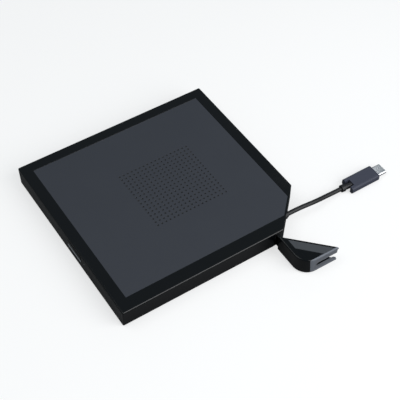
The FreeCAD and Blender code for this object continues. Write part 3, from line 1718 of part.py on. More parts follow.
def disc_hub():
    """Centring hub with three sprung claws for the disc's hole."""
    body = new_body("disc_hub")
    centre = 0 * S.rod_y
    pad(body, "drum", "XY", [Circle(centre, centre, S.hub_radius)], turntable_top, S.hub_top)

    def is_top_edge(edge):
        return within(edge.BoundBox.ZMin, S.hub_top, 0.01)

    round_edges(body, "top_round", S.edge_round / 2, is_top_edge)
    half = S.claw_width / 2
    slit = S.claw_slit
    reach = S.hub_radius + 1
    inner = S.hub_radius - 3
    slits = [rectangle(inner, reach, -half - slit, -half), rectangle(inner, reach, half, half + slit)]
    cut = pocket(body, "claw_slits", "XY", slits, disc_plane, S.hub_top + 1)
    pattern = body.newObject("PartDesign::PolarPattern", "disc_hub_claws")
    pattern.Originals = [cut]
    pattern.Axis = (cut.Profile[0], ["N_Axis"])
    pattern.Angle = 360
    pattern.Occurrences = 3
    body.Tip = pattern
    doc.recompute()
    return on_the_traverse(body)


def guide_rods():
    body = new_body("guide_rods")
    rods = [Circle(y, S.rod_height, S.rod_radius) for y in (-S.rod_y, S.rod_y)]
    start = S.frame_window_in - S.rod_seat
    end = frame_window_out + S.rod_seat
    pad(body, "rods", "YZ", rods, start, end)
    return on_the_traverse(body)


def feed_screw():
    body = new_body("feed_screw")
    shaft = [Circle(feed_y, S.feed_height, S.feed_radius)]
    end = frame_window_out + S.rod_seat - 0.1
    pad(body, "shaft", "YZ", shaft, S.frame_step, end)
    return on_the_traverse(body)


def feed_motor():
    """Small can motor on the end of the feed screw."""
    body = new_body("feed_motor")
    can = [Circle(feed_y, S.feed_height, S.feed_motor_radius)]
    pad(body, "can", "YZ", can, S.frame_step - S.feed_motor_length, S.frame_step)
    return on_the_traverse(body)


def sled_body():
    """Laser sled on its two rods, with a well for the lens holder."""
    body = new_body("sled_body")
    back = sled_out - S.sled_back
    ahead = sled_out + S.sled_ahead
    block_outline = [rectangle(back, ahead, -S.sled_half, S.sled_half)]
    pad(body, "block", "XY", block_outline, S.sled_low, S.sled_high)
    arms = [rectangle(back, back + S.sled_arm_length, -S.sled_arm_reach, S.sled_arm_reach)]
    pad(body, "arms", "XY", arms, S.sled_arm_low, S.sled_arm_high)
    bores = [Circle(y, S.rod_height, S.rod_radius + S.rod_fit) for y in (-S.rod_y, S.rod_y)]
    pocket(body, "rod_bores", "YZ", bores, back - 1, back + S.sled_arm_length + 1)
    half_x = S.holder_length / 2 + S.holder_gap
    half_y = S.holder_width / 2 + S.holder_gap
    well = [rectangle(sled_out - half_x, sled_out + half_x, -half_y, half_y)]
    pocket(body, "well", "XY", well, S.holder_low - S.focus_travel - S.holder_gap / 2, S.sled_high + 1)
    return on_the_traverse(body)


def lens_holder():
    body = new_body("lens_holder")
    half_x = S.holder_length / 2
    half_y = S.holder_width / 2
    outline = [rectangle(sled_out - half_x, sled_out + half_x, -half_y, half_y, 0.8)]
    pad(body, "frame", "XY", outline, S.holder_low, S.holder_high)
    return on_the_traverse(body)


def objective_lens():
    body = new_body("objective_lens")
    lens = [Circle(sled_out, 0 * S.lens_radius, S.lens_radius)]
    pad(body, "lens", "XY", lens, S.holder_high, S.holder_high + S.lens_height)

    def is_top_edge(edge):
        return within(edge.BoundBox.ZMin, S.holder_high + S.lens_height, 0.01)

    round_edges(body, "dome", S.lens_height * 0.9, is_top_edge)
    return on_the_traverse(body)


def actuator_magnets():
    body = new_body("actuator_magnets")
    inner = S.holder_width / 2 + S.holder_gap
    outer = inner + S.magnet_thickness
    half = S.holder_length / 2 - S.magnet_short
    blocks = [rectangle(sled_out - half, sled_out + half, inner, outer),
              rectangle(sled_out - half, sled_out + half, -outer, -inner)]
    pad(body, "blocks", "XY", blocks, S.sled_high, S.sled_high + S.magnet_height)
    return on_the_traverse(body)


def laser_modules():
    body = new_body("laser_modules")
    back = sled_out - S.sled_back + S.laser_back
    ahead = back + S.laser_length
    blocks = [rectangle(back, ahead, -S.laser_outer, -S.laser_inner),
              rectangle(back, ahead, S.laser_inner, S.laser_outer)]
    pad(body, "blocks", "XY", blocks, S.sled_high, S.sled_high + S.laser_height)
    return on_the_traverse(body)


def feed_nut():
    """Follower on the sled that runs on the feed screw."""
    body = new_body("feed_nut")
    back = sled_out - S.sled_back + S.nut_back
    low = S.feed_height - S.nut_half_height
    high = S.feed_height + S.nut_half_height
    reach = feed_y + S.feed_radius + S.nut_wall
    outline = [rectangle(back, back + S.nut_length, S.sled_arm_reach, reach)]
    pad(body, "block", "XY", outline, low, high)
    bore = [Circle(feed_y, S.feed_height, S.feed_radius + S.feed_fit)]
    pocket(body, "bore", "YZ", bore, back - 1, back + S.nut_length + 1)
    return on_the_traverse(body)


# Boards and connectors
board_low = pan_top + S.board_lift
board_high = board_low + S.board


def main_board():
    return block("main_board", board_left, board_right, board_front_y, board_rear_y,
                 board_low, board_high)


def board_chips():
    """The larger parts on the main board, with the flex socket at its front edge."""
    chips = []
    for i in range(4):
        x = board_left + S.chip_first + i * S.chip_pitch
        y = board_front_y + S.chip_row
        chips.append(block(f"chip_{i}", x, x + S.chip_side, y, y + S.chip_side,
                           board_high, board_high + S.chip_height))
        y = board_front_y + S.small_chip_row
        chips.append(block(f"small_chip_{i}", x, x + S.small_chip_side, y, y + S.small_chip_side,
                           board_high, board_high + S.small_chip_height))
    socket = block("flex_socket", board_left, flex_right, board_front_y, board_front_y + S.flex_socket,
                   board_high, board_high + S.flex_socket_height)
    return gathered("board_chips", chips + [socket])


def drive_connector():
    """Plug of the mechanism, through its rear wall."""
    return block("drive_connector", S.connector_left, S.connector_right,
                 drive_rear_y - S.connector_depth, drive_rear_y, S.connector_low, S.connector_high)


def bridge_connector():
    margin = S.bridge_connector_margin
    start = drive_rear_y + S.connector_gap
    return block("bridge_connector", S.connector_left - margin, S.connector_right + margin,
                 start, start + S.connector_depth, bridge_high, S.connector_high + S.connector_raise)


bridge_high = S.bridge_low + S.bridge_board


def bridge_board():
    """Board that turns the mechanism's signals into the cord's, on two posts."""
    board = block("bridge_sheet", S.bridge_left, S.bridge_right,
                  bridge_front_y - S.bridge_overlap, bridge_rear_y, S.bridge_low, bridge_high)
    middle = (bridge_front_y + bridge_rear_y) / 2
    places = (S.bridge_left + S.bridge_post_inset, S.bridge_right - S.bridge_post_inset)
    posts = [rod(f"bridge_post_{i}", x, middle, floor_top, S.bridge_low, S.standoff_radius)
             for i, x in enumerate(places)]
    return joined("bridge_board", [board] + posts)


def bridge_chips():
    y = bridge_front_y + S.bridge_chip_inset
    chips = []
    for i in range(4):
        x = S.bridge_left + S.bridge_chip_inset + i * S.bridge_chip_pitch
        chips.append(block(f"bridge_chip_{i}", x, x + S.bridge_chip, y, y + S.bridge_chip,
                           bridge_high, bridge_high + S.small_chip_height))
    return gathered("bridge_chips", chips)


def internal_lead():
    """Flat lead from the gland along the niche wall to the bridge board."""
    body = new_body("internal_lead")
    near = drive_inward - S.lead_gap
    far = near - S.lead_thickness
    low_y = bridge_front_y
    high_y = low_y + S.lead_thickness
    x0 = cord_x - S.lead_overlap
    band = [
        (x0, slant_y(x0, near)),
        (x0, slant_y(x0, far)),
        (slant_x(high_y, far), high_y),
        (S.bridge_right, high_y),
        (S.bridge_right, low_y),
        (slant_x(low_y, near), low_y),
    ]
    pad(body, "band", "XY", [band], S.lead_low, S.lead_high)
    return body


def tray_flex():
    """Flat flex on the pan, from the board's socket to where it folds over."""
    strip = block("flex_strip", board_left, flex_right, board_front_y - S.flex_length, board_front_y,
                  pan_top, pan_top + S.flex_thickness)
    rise = block("flex_rise", board_left, flex_right, board_front_y - S.flex_thickness,
                 board_front_y, pan_top, board_high + S.flex_socket_height / 2)
    return joined("tray_flex", [strip, rise])


# Tray latch
def latch_solenoid():
    y = latch_y - S.plunger_arm
    case = block("solenoid_case", solenoid_left, solenoid_right, y - S.solenoid_half,
                 y + S.solenoid_half, S.solenoid_low, tray_low)
    bore = doc.addObject("Part::Cylinder", "solenoid_bore")
    bore.Placement = Placement(Vector(), Rotation(Vector(0, 1, 0), 90))
    bind(bore, "Placement.Base.x", solenoid_left + S.solenoid_end)
    bind(bore, "Placement.Base.y", y)
    bind(bore, "Placement.Base.z", plunger_z)
    bind(bore, "Radius", S.plunger_radius + S.plunger_fit)
    bind(bore, "Height", solenoid_right - solenoid_left)
    cut = doc.addObject("Part::Cut", "latch_solenoid")
    cut.Base = case
    cut.Tool = bore
    return cut


plunger_z = (S.latch_low + S.latch_high) / 2


def latch_plunger():
    """Plunger whose tip stands beside the released lever."""
    plunger = doc.addObject("Part::Cylinder", "latch_plunger")
    plunger.Placement = Placement(Vector(), Rotation(Vector(0, 1, 0), 90))
    start = solenoid_left + S.solenoid_end + S.plunger_rest
    swing = S.plunger_arm * sine(S.latch_swing)
    side = S.latch_half / cosine(S.latch_swing)
    end = latch_x - swing - side - S.plunger_gap
    bind(plunger, "Placement.Base.x", start)
    bind(plunger, "Placement.Base.y", latch_y - S.plunger_arm)
    bind(plunger, "Placement.Base.z", plunger_z)
    bind(plunger, "Radius", S.plunger_radius)
    bind(plunger, "Height", end - start)
    return plunger


def latch_lever():
    """Hook lever, drawn latched behind the lock pin and then swung free."""
    body = new_body("latch_lever")
    half = S.latch_half
    hook_front = lock_y + S.lock_radius + S.lock_clearance - latch_y
    hook_back = hook_front + S.hook_thickness
    outline = [
        (-half, hook_front),
        (S.hook_reach, hook_front),
        (S.hook_reach, hook_back),
        (half, hook_back),
        (half, 2 * half),
        (-half, 2 * half),
    ]
    pad(body, "arm", "XY", [outline], S.latch_low, S.latch_high)
    zero = 0 * half
    pad(body, "eye", "XY", [Circle(zero, zero, half * 2)], S.latch_low, S.latch_high)
    bore = [Circle(zero, zero, S.latch_pin_radius + S.latch_pin_fit)]
    pocket(body, "bore", "XY", bore, S.latch_low - 1, S.latch_high + 1)
    body.Placement = Placement(Vector(0, 0, 0), Rotation(Vector(0, 0, 1), -S.latch_swing.value))
    bind(body, "Placement.Base.x", latch_x)
    bind(body, "Placement.Base.y", latch_y)
    bind(body, "Placement.Rotation.Angle", -S.latch_swing)
    return body


def lock_pin():
    return rod("lock_pin", lock_x, lock_y, pan_top, S.lock_high, S.lock_radius)


# Ejector that starts the tray
def along_y(name, x, y0, y1, z, radius):
    cylinder = doc.addObject("Part::Cylinder", name)
    cylinder.Placement = Placement(Vector(), Rotation(Vector(1, 0, 0), -90))
    bind(cylinder, "Placement.Base.x", x)
    bind(cylinder, "Placement.Base.y", y0)
    bind(cylinder, "Placement.Base.z", z)
    bind(cylinder, "Radius", radius)
    bind(cylinder, "Height", y1 - y0)
    return cylinder


def ejector_housing():
    case_top = S.ejector_height + S.ejector_bore + S.ejector_wall
    case = block("ejector_case", ejector_x - S.ejector_half, ejector_x + S.ejector_half,
                 ejector_front_y, ejector_back, pan_top, case_top)
    bore = along_y("ejector_bore", ejector_x, ejector_front_y - 1, ejector_back - S.ejector_end,
                   S.ejector_height, S.ejector_bore)
    cut = doc.addObject("Part::Cut", "ejector_housing")
    cut.Base = case
    cut.Tool = bore
    return cut


def ejector_pusher():
    start = tray_rear_y + S.ejector_gap
    head = along_y("pusher_head", ejector_x, start, ejector_front_y + 1, S.ejector_height,
                   S.ejector_head)
    stem = along_y("pusher_stem", ejector_x, start, ejector_back - S.ejector_end - 1, S.ejector_height,
                   S.ejector_rod)
    return joined("ejector_pusher", [head, stem])


def ejector_spring():
    """Coil spring round the pusher's stem, inside its housing."""
    start = ejector_front_y + 1
    end = ejector_back - S.ejector_end
    outer = along_y("spring_outer", ejector_x, start, end, S.ejector_height,
                    S.ejector_rod + S.spring_fit + S.spring_wire)
    inner = along_y("spring_inner", ejector_x, start, end, S.ejector_height,
                    S.ejector_rod + S.spring_fit)
    cut = doc.addObject("Part::Cut", "ejector_spring")
    cut.Base = outer
    cut.Tool = inner
    return cut


SUB_PARTS = [
    top_shell(),
    top_panel(),
    bottom_shell(),
    rubber_feet(),
    case_screws(),
    drive_screws(),
    hinge_pin(),
    door_shell(),
    door_inlay(),
    door_end_plate(),
    cord_gland(),
    cord(),
    plug_neck(),
    plug_body(),
    plug_shell(),
    drive_chassis(),
    drive_cover(),
    rail_guides(),
    slide_rail("slide_rail_left", -1),
    slide_rail("slide_rail_right", 1),
    tray(),
    tray_bezel(),
    eject_button(),
    eject_switch(),
    front_board(),
    light_guide(),
    tray_bottom_cover(),
    tray_screws(),
    traverse_frame(),
    damper_bushings(),
    traverse_screws(),
    motor_base(),
    motor_stator(),
    motor_rotor(),
    turntable_pad(),
    disc_hub(),
    guide_rods(),
    feed_screw(),
    feed_motor(),
    sled_body(),
    lens_holder(),
    objective_lens(),
    actuator_magnets(),
    laser_modules(),
    feed_nut(),
    main_board(),
    board_chips(),
    drive_connector(),
    bridge_connector(),
    bridge_board(),
    bridge_chips(),
    internal_lead(),
    tray_flex(),
    latch_solenoid(),
    latch_plunger(),
    latch_lever(),
    lock_pin(),
    ejector_housing(),
    ejector_pusher(),
    ejector_spring(),
]

doc.recompute()
for thing in doc.Objects:
    if {"Invalid", "Error"} & set(thing.State):
        raise RuntimeError(f"{thing.Name} failed: {thing.State}")

os.makedirs("parts", exist_ok=True)
for part in SUB_PARTS:
    if part.Shape.isNull() or not part.Shape.isValid():
        raise RuntimeError(f"{part.Label} has no valid shape")
    part.Shape.exportStep(os.path.join("parts", part.Label + ".step"))
    print(f"{part.Label}: {len(part.Shape.Solids)} solids, {part.Shape.Volume:.1f} mm3")
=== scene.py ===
# %% [markdown]
# # A slim disc drive with a cord door
# The drive is a flat case of glossy and matte plastic with a disc mechanism inside, a small
# door at one corner that hides the cord, and the cord with its plug. The exact solids come
# from CAD and stay as they are. Here they get their finishes, and the soft or finely made
# pieces, such as the cord, the screws, the spring and the thread, are made anew.

import json
import math

import bpy
from mathutils import Matrix, Vector


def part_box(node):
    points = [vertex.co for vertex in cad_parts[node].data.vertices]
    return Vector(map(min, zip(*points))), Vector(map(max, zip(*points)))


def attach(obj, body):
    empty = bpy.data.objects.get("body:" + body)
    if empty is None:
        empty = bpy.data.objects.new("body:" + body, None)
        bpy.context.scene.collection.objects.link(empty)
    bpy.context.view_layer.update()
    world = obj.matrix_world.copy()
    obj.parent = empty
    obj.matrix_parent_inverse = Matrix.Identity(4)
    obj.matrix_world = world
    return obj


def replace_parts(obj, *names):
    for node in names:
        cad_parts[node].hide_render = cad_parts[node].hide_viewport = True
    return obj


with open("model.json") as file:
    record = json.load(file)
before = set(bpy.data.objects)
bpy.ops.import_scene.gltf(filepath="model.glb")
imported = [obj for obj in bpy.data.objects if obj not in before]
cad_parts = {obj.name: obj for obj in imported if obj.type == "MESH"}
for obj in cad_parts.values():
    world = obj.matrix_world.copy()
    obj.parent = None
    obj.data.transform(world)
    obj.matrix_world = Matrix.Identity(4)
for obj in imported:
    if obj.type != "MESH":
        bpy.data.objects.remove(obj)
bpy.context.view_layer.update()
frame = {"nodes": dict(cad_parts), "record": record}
nodes = frame["nodes"]
print("pieces from CAD:", len(nodes))

MM = 0.001


# %% [markdown]
# ## Where the photograph was taken from
# A product photographer stood to the right of the drive's front corner and looked down at
# about 49 degrees with a long lens. A camera could be placed by eye. Here its angles and
# distance were worked out from the straight edges of the case, so they are plain numbers.

# %% Camera
VIEW_AZIMUTH = 56.94
VIEW_ELEVATION = 49.31
VIEW_DISTANCE = 639.72 * MM
VIEW_TARGET = Vector((10.57, 20.31, 1.5)) * MM
LENS = 87.85
SENSOR = 36.0


def direction(azimuth, elevation):
    """The unit vector towards a place at that azimuth and elevation, in degrees."""
    a, e = math.radians(azimuth), math.radians(elevation)
    return Vector((math.sin(a) * math.cos(e), -math.cos(a) * math.cos(e), math.sin(e)))


camera_data = bpy.data.cameras.new("camera")
camera_data.lens = LENS
camera_data.sensor_width = SENSOR
camera = bpy.data.objects.new("camera", camera_data)
camera.location = VIEW_TARGET + direction(VIEW_AZIMUTH, VIEW_ELEVATION) * VIEW_DISTANCE
camera.rotation_euler = (VIEW_TARGET - camera.location).to_track_quat("-Z", "Y").to_euler()
bpy.context.scene.collection.objects.link(camera)
bpy.context.scene.camera = camera
print("camera at", tuple(round(c, 4) for c in camera.location))


# %% [markdown]
# ## The cord
# A short thin cord leaves a rubber gland in the corner and runs out to the plug. It could be
# a swept mesh. A smooth curve with a round section is the natural choice, because a real
# cord bends evenly: its few control points are the turns of the route.

# %% Cord
CORD_DIAMETER = 3.0 * MM
CORD_STEPS = 24
CORD_ROUNDNESS = 8
CORD_POINTS = [
    (54.7, 58.0, 6.5),
    (54.7, 67.2, 6.5),
    (55.8, 78.4, 6.4),
    (54.4, 89.6, 3.6),
    (54.03, 103.6, 2.53),
]
cord_curve = bpy.data.curves.new("cord_line", "CURVE")
cord_curve.dimensions = "3D"
cord_curve.resolution_u = CORD_STEPS
cord_curve.bevel_depth = CORD_DIAMETER / 2
cord_curve.bevel_resolution = CORD_ROUNDNESS
cord_curve.use_fill_caps = True
spline = cord_curve.splines.new("NURBS")
spline.points.add(len(CORD_POINTS) - 1)
for point, place in zip(spline.points, CORD_POINTS):
    point.co = (*(Vector(place) * MM), 1.0)
spline.order_u = 3
spline.use_endpoint_u = True
cord = bpy.data.objects.new("cord_sheath", cord_curve)
bpy.context.scene.collection.objects.link(cord)


def centre_line(curve_object):
    """Points along the middle of a curve, read from its spline with no thickness."""
    bare = curve_object.data.copy()
    bare.bevel_depth = 0.0
    holder = bpy.data.objects.new("bare_line", bare)
    mesh = bpy.data.meshes.new_from_object(holder)
    points = [vertex.co.copy() for vertex in mesh.vertices]
    bpy.data.objects.remove(holder)
    bpy.data.meshes.remove(mesh)
    bpy.data.curves.remove(bare)
    return points


cord_line = centre_line(cord)


# %% [markdown]
# ## Helpers for node trees
# Materials and repeated pieces are both node trees. A node can be added, filled in and
# linked line by line, which is long and easy to get wrong. One helper that makes a node and
# sets its inputs, by value or by link, keeps every tree as short as its idea.

# %% Helpers for node trees
def add_node(tree, kind, settings=None, **inputs):
    """A new node. Settings are its own properties, inputs are values or sockets to link.

    An input is named by its label, with _ for a space, or by its place, such as i0.
    """
    node = tree.nodes.new(kind)
    for key, value in (settings or {}).items():
        setattr(node, key, value)
    for key, value in inputs.items():
        place = int(key[1:]) if key[1:].isdigit() else key.replace("_", " ")
        socket = node.inputs[place]
        if isinstance(value, bpy.types.NodeSocket):
            tree.links.new(value, socket)
        else:
            socket.default_value = value
    return node


def calculate(tree, operation, *values):
    """One Math node, with numbers or sockets."""
    inputs = {f"i{k}": value for k, value in enumerate(values)}
    return add_node(tree, "ShaderNodeMath", {"operation": operation}, **inputs).outputs[0]


def remap(tree, value, low, high, to_low, to_high):
    """Take a value from one range to another, clamped."""
    return add_node(tree, "ShaderNodeMapRange", None, Value=value, From_Min=low, From_Max=high,
                    To_Min=to_low, To_Max=to_high).outputs["Result"]


def linear(red, green, blue):
    """A colour written as it looks on a screen, 0 to 255, as the renderer counts light."""
    def one(channel):
        c = channel / 255
        return c / 12.92 if c <= 0.04045 else ((c + 0.055) / 1.055) ** 2.4
    return (one(red), one(green), one(blue), 1.0)


print("black plastic as light:", [round(c, 4) for c in linear(20, 23, 26)])


# %% [markdown]
# ## Shared surface effects
# Moulded plastic, rubber and sheet steel differ in colour, but they share small effects: a
# fine grain from the mould, hairline scratches and smudges from hands, dust, and edges that
# are a little round and worn. Each could be repeated in every material. Built once as a
# group with named inputs, an effect is placed in each material with that material's values.

# %% Group: mould grain
PATCHES_PER_METRE = 45.0
FINE_SHARE = 0.6


def new_group(name, inputs, outputs):
    """An empty shader group with float inputs (name, value) and outputs (name, kind)."""
    group = bpy.data.node_groups.new(name, "ShaderNodeTree")
    for label, value in inputs:
        socket = group.interface.new_socket(label, in_out="INPUT", socket_type="NodeSocketFloat")
        socket.default_value = value
    for label, kind in outputs:
        group.interface.new_socket(label, in_out="OUTPUT", socket_type="NodeSocket" + kind)
    return group, group.nodes.new("NodeGroupInput"), group.nodes.new("NodeGroupOutput")


def object_place(tree, stretch=(1.0, 1.0, 1.0)):
    """The place on the piece, in metres, stretched along its axes."""
    coordinates = add_node(tree, "ShaderNodeTexCoord")
    return add_node(tree, "ShaderNodeMapping", None, Vector=coordinates.outputs["Object"],
                    Scale=stretch).outputs[0]


def noise(tree, place, scale, detail=2.0, roughness=0.5):
    """Cloudy noise from 0 to 1, with so many clouds per metre."""
    return add_node(tree, "ShaderNodeTexNoise", None, Vector=place, Scale=scale, Detail=detail,
                    Roughness=roughness).outputs["Fac"]


grain_group, ins, outs = new_group(
    "mould_grain", [("Per Metre", 2500.0), ("Unevenness", 0.5)], [("Height", "Float"), ("Tone", "Float")])
place = object_place(grain_group)
cells = add_node(grain_group, "ShaderNodeTexVoronoi", {"feature": "SMOOTH_F1"}, Vector=place,
                 Scale=ins.outputs["Per Metre"]).outputs["Distance"]
fine_scale = calculate(grain_group, "MULTIPLY", ins.outputs["Per Metre"], FINE_SHARE)
fine = noise(grain_group, place, fine_scale, 3.0)
patches = noise(grain_group, place, PATCHES_PER_METRE, 3.0)
height = calculate(grain_group, "ADD", calculate(grain_group, "MULTIPLY", cells, 0.6), fine)
swing = calculate(grain_group, "MULTIPLY", calculate(grain_group, "SUBTRACT", patches, 0.5),
                  ins.outputs["Unevenness"])
speckle = calculate(grain_group, "MULTIPLY", calculate(grain_group, "SUBTRACT", fine, 0.5), 0.3)
tone = calculate(grain_group, "ADD", calculate(grain_group, "ADD", 1.0, swing), speckle)
grain_group.links.new(height, outs.inputs["Height"])
grain_group.links.new(tone, outs.inputs["Tone"])
print("group", grain_group.name)

# %% [markdown]
# ### Scratches and smudges
# Glossy black plastic shows every wipe. Long thin noise in two directions, cut to its
# thinnest lines, reads as hairlines, and a broad soft noise as finger smudges. Both change
# only how rough the surface is, as they do on the real thing.

# %% Group: hairlines and smudges
WIPING_DIRECTIONS = (0.35, 1.9)
LONG_AND_THIN = (1.0, 0.03, 1.0)
HAIRLINES_PER_METRE = 3200.0
SMUDGES_PER_METRE = 38.0
hairline_group, ins, outs = new_group(
    "hairlines", [("Amount", 0.1)], [("Roughness", "Float")])
lines = 0.0
for turn in WIPING_DIRECTIONS:
    coordinates = add_node(hairline_group, "ShaderNodeTexCoord")
    turned = add_node(hairline_group, "ShaderNodeMapping", None, Vector=coordinates.outputs["Object"],
                      Rotation=(0.0, 0.0, turn), Scale=LONG_AND_THIN).outputs[0]
    streaks = noise(hairline_group, turned, HAIRLINES_PER_METRE, 2.0, 0.6)
    thin = remap(hairline_group, streaks, 0.68, 0.78, 0.0, 1.0)
    lines = calculate(hairline_group, "ADD", lines, thin)
broad = noise(hairline_group, object_place(hairline_group), SMUDGES_PER_METRE, 4.0)
smudges = remap(hairline_group, broad, 0.45, 0.75, 0.0, 1.0)
both = calculate(hairline_group, "ADD", calculate(hairline_group, "MULTIPLY", lines, 0.6), smudges)
added = calculate(hairline_group, "MULTIPLY", both, ins.outputs["Amount"])
hairline_group.links.new(added, outs.inputs["Roughness"])
print("group", hairline_group.name)

# %% [markdown]
# ### Dust
# A clean product still carries a few specks, mostly where it faces up. Cells of a Voronoi
# pattern with a small radius make specks of their own size, and the object's normal keeps
# them off the underside.

# %% Group: dust specks
DUST_CELLS_PER_METRE = 420.0
LARGEST_SPECK = 0.09
dust_group, ins, outs = new_group("dust_specks", [("Amount", 0.3)], [("Mask", "Float")])
coordinates = add_node(dust_group, "ShaderNodeTexCoord")
upward = add_node(dust_group, "ShaderNodeSeparateXYZ", None,
                  Vector=coordinates.outputs["Normal"]).outputs["Z"]
specks = add_node(dust_group, "ShaderNodeTexVoronoi", None, Vector=coordinates.outputs["Object"],
                  Scale=DUST_CELLS_PER_METRE)
random_size = add_node(dust_group, "ShaderNodeSeparateColor", None,
                       Color=specks.outputs["Color"]).outputs[0]
radius = remap(dust_group, random_size, 0.82, 1.0, 0.0, LARGEST_SPECK)
inside = calculate(dust_group, "LESS_THAN", specks.outputs["Distance"], radius)
facing = remap(dust_group, upward, 0.2, 0.9, 0.0, 1.0)
fallen = calculate(dust_group, "MULTIPLY", inside, facing)
dust_group.links.new(calculate(dust_group, "MULTIPLY", fallen, ins.outputs["Amount"]), outs.inputs["Mask"])
print("group", dust_group.name)

# %% [markdown]
# ### Soft, worn edges
# No moulded or bent edge is perfectly sharp. Rounding every edge of the mesh would be heavy,
# and the CAD solids stay as they are, so the Bevel node bends the shading normal near an
# edge instead. Where the bent and the true normal part is the edge itself, which gives a
# mask for wear.

# %% Group: soft edges
WORN_PATCHES_PER_METRE = 260.0
edge_group, ins, outs = new_group(
    "soft_edges", [("Radius", 0.0002), ("Wear", 0.2)], [("Normal", "Vector"), ("Mask", "Float")])
bent = add_node(edge_group, "ShaderNodeBevel", {"samples": 6}, Radius=ins.outputs["Radius"]).outputs[0]
true_normal = add_node(edge_group, "ShaderNodeNewGeometry").outputs["Normal"]
agreement = add_node(edge_group, "ShaderNodeVectorMath", {"operation": "DOT_PRODUCT"}, i0=bent,
                     i1=true_normal).outputs["Value"]
edge = remap(edge_group, agreement, 0.75, 0.99, 1.0, 0.0)
handled = noise(edge_group, object_place(edge_group), WORN_PATCHES_PER_METRE, 3.0)
patchy = remap(edge_group, handled, 0.4, 0.65, 0.0, 1.0)
worn = calculate(edge_group, "MULTIPLY", edge, patchy)
edge_group.links.new(bent, outs.inputs["Normal"])
edge_group.links.new(calculate(edge_group, "MULTIPLY", worn, ins.outputs["Wear"]), outs.inputs["Mask"])
print("group", edge_group.name)


# %% [markdown]
# ## Finishes
# Every finish is the same physical shader fed by the groups: its colour varies with the
# grain and pales on worn edges and dust, its roughness with hairlines and worn edges, and its
# bumps come from the grain. Plastics, rubbers and metals then differ only in their values,
# so one function makes them all.

# %% The finish function
DUST_COLOUR = linear(150, 148, 144)
ROUGHER = 0.3
COAT_ROUGHNESS = 0.06


def place_group(tree, group, **inputs):
    """One of the shared effects, placed in a material."""
    return add_node(tree, "ShaderNodeGroup", {"node_tree": group}, **inputs)


def mixed(tree, factor, first, second):
    """Two colours mixed by a mask."""
    node = add_node(tree, "ShaderNodeMix", {"data_type": "RGBA"}, i0=factor, i6=first, i7=second)
    return node.outputs[2]


def finish(name, colour, roughness, metallic=0.0, per_metre=2500.0, bump=0.04, unevenness=0.12,
           hairlines=0.08, dust=0.25, edge=0.15, wear=0.2, worn=None, coat=0.0, specular=0.5,
           band=None):
    """A finish from its colour and a few values.

    The radius of an edge and the places of a band are in millimetres, and bump is in tenths
    of one. A band is an axis, the two places between which a second colour starts, and that
    colour. Worn edges take the colour worn, or else a paler tone of the first colour.
    """
    material = bpy.data.materials.new(name)
    material.use_nodes = True
    tree = material.node_tree
    tree.nodes.clear()
    grain = place_group(tree, grain_group, Per_Metre=per_metre, Unevenness=unevenness)
    scratch = place_group(tree, hairline_group, Amount=hairlines)
    specks = place_group(tree, dust_group, Amount=dust)
    edges = place_group(tree, edge_group, Radius=edge * MM, Wear=wear)
    base = add_node(tree, "ShaderNodeVectorMath", {"operation": "SCALE"}, i0=colour[:3],
                    Scale=grain.outputs["Tone"]).outputs[0]
    paler = worn or tuple(min(1.0, c * 2.5 + 0.03) for c in colour[:3]) + (1.0,)
    base = mixed(tree, edges.outputs["Mask"], base, paler)
    base = mixed(tree, specks.outputs["Mask"], base, DUST_COLOUR)
    rough = calculate(tree, "ADD", roughness, scratch.outputs["Roughness"])
    if band:
        axis, start, end, second = band
        split = add_node(tree, "ShaderNodeSeparateXYZ", None, Vector=object_place(tree))
        mask = remap(tree, split.outputs[axis], start * MM, end * MM, 0.0, 1.0)
        base = mixed(tree, mask, base, second)
        rough = calculate(tree, "ADD", rough, calculate(tree, "MULTIPLY", mask, ROUGHER))
    worn_rough = calculate(tree, "MULTIPLY", edges.outputs["Mask"], ROUGHER)
    rough = calculate(tree, "ADD", rough, worn_rough)
    bumps = add_node(tree, "ShaderNodeBump", None, Strength=1.0, Distance=bump * 0.1 * MM,
                     Height=grain.outputs["Height"], Normal=edges.outputs["Normal"])
    shader = add_node(tree, "ShaderNodeBsdfPrincipled", None, Base_Color=base,
                      Roughness=calculate(tree, "MINIMUM", rough, 1.0), Metallic=metallic,
                      Normal=bumps.outputs[0])
    shader.inputs["Coat Weight"].default_value = coat
    shader.inputs["Coat Roughness"].default_value = COAT_ROUGHNESS
    shader.inputs["Specular IOR Level"].default_value = specular
    output = add_node(tree, "ShaderNodeOutputMaterial")
    tree.links.new(shader.outputs[0], output.inputs["Surface"])
    return material


print("groups in each finish:", [group.name for group in (grain_group, hairline_group, dust_group,
                                                          edge_group)])

# %% [markdown]
# ### Plastics of the case
# The rim of the case, the tray front and the door are polished black plastic. The panel on
# the roof and the inlay on the door have a fine matte texture in dark blue grey, and the end
# plate of the door is a lighter grey.

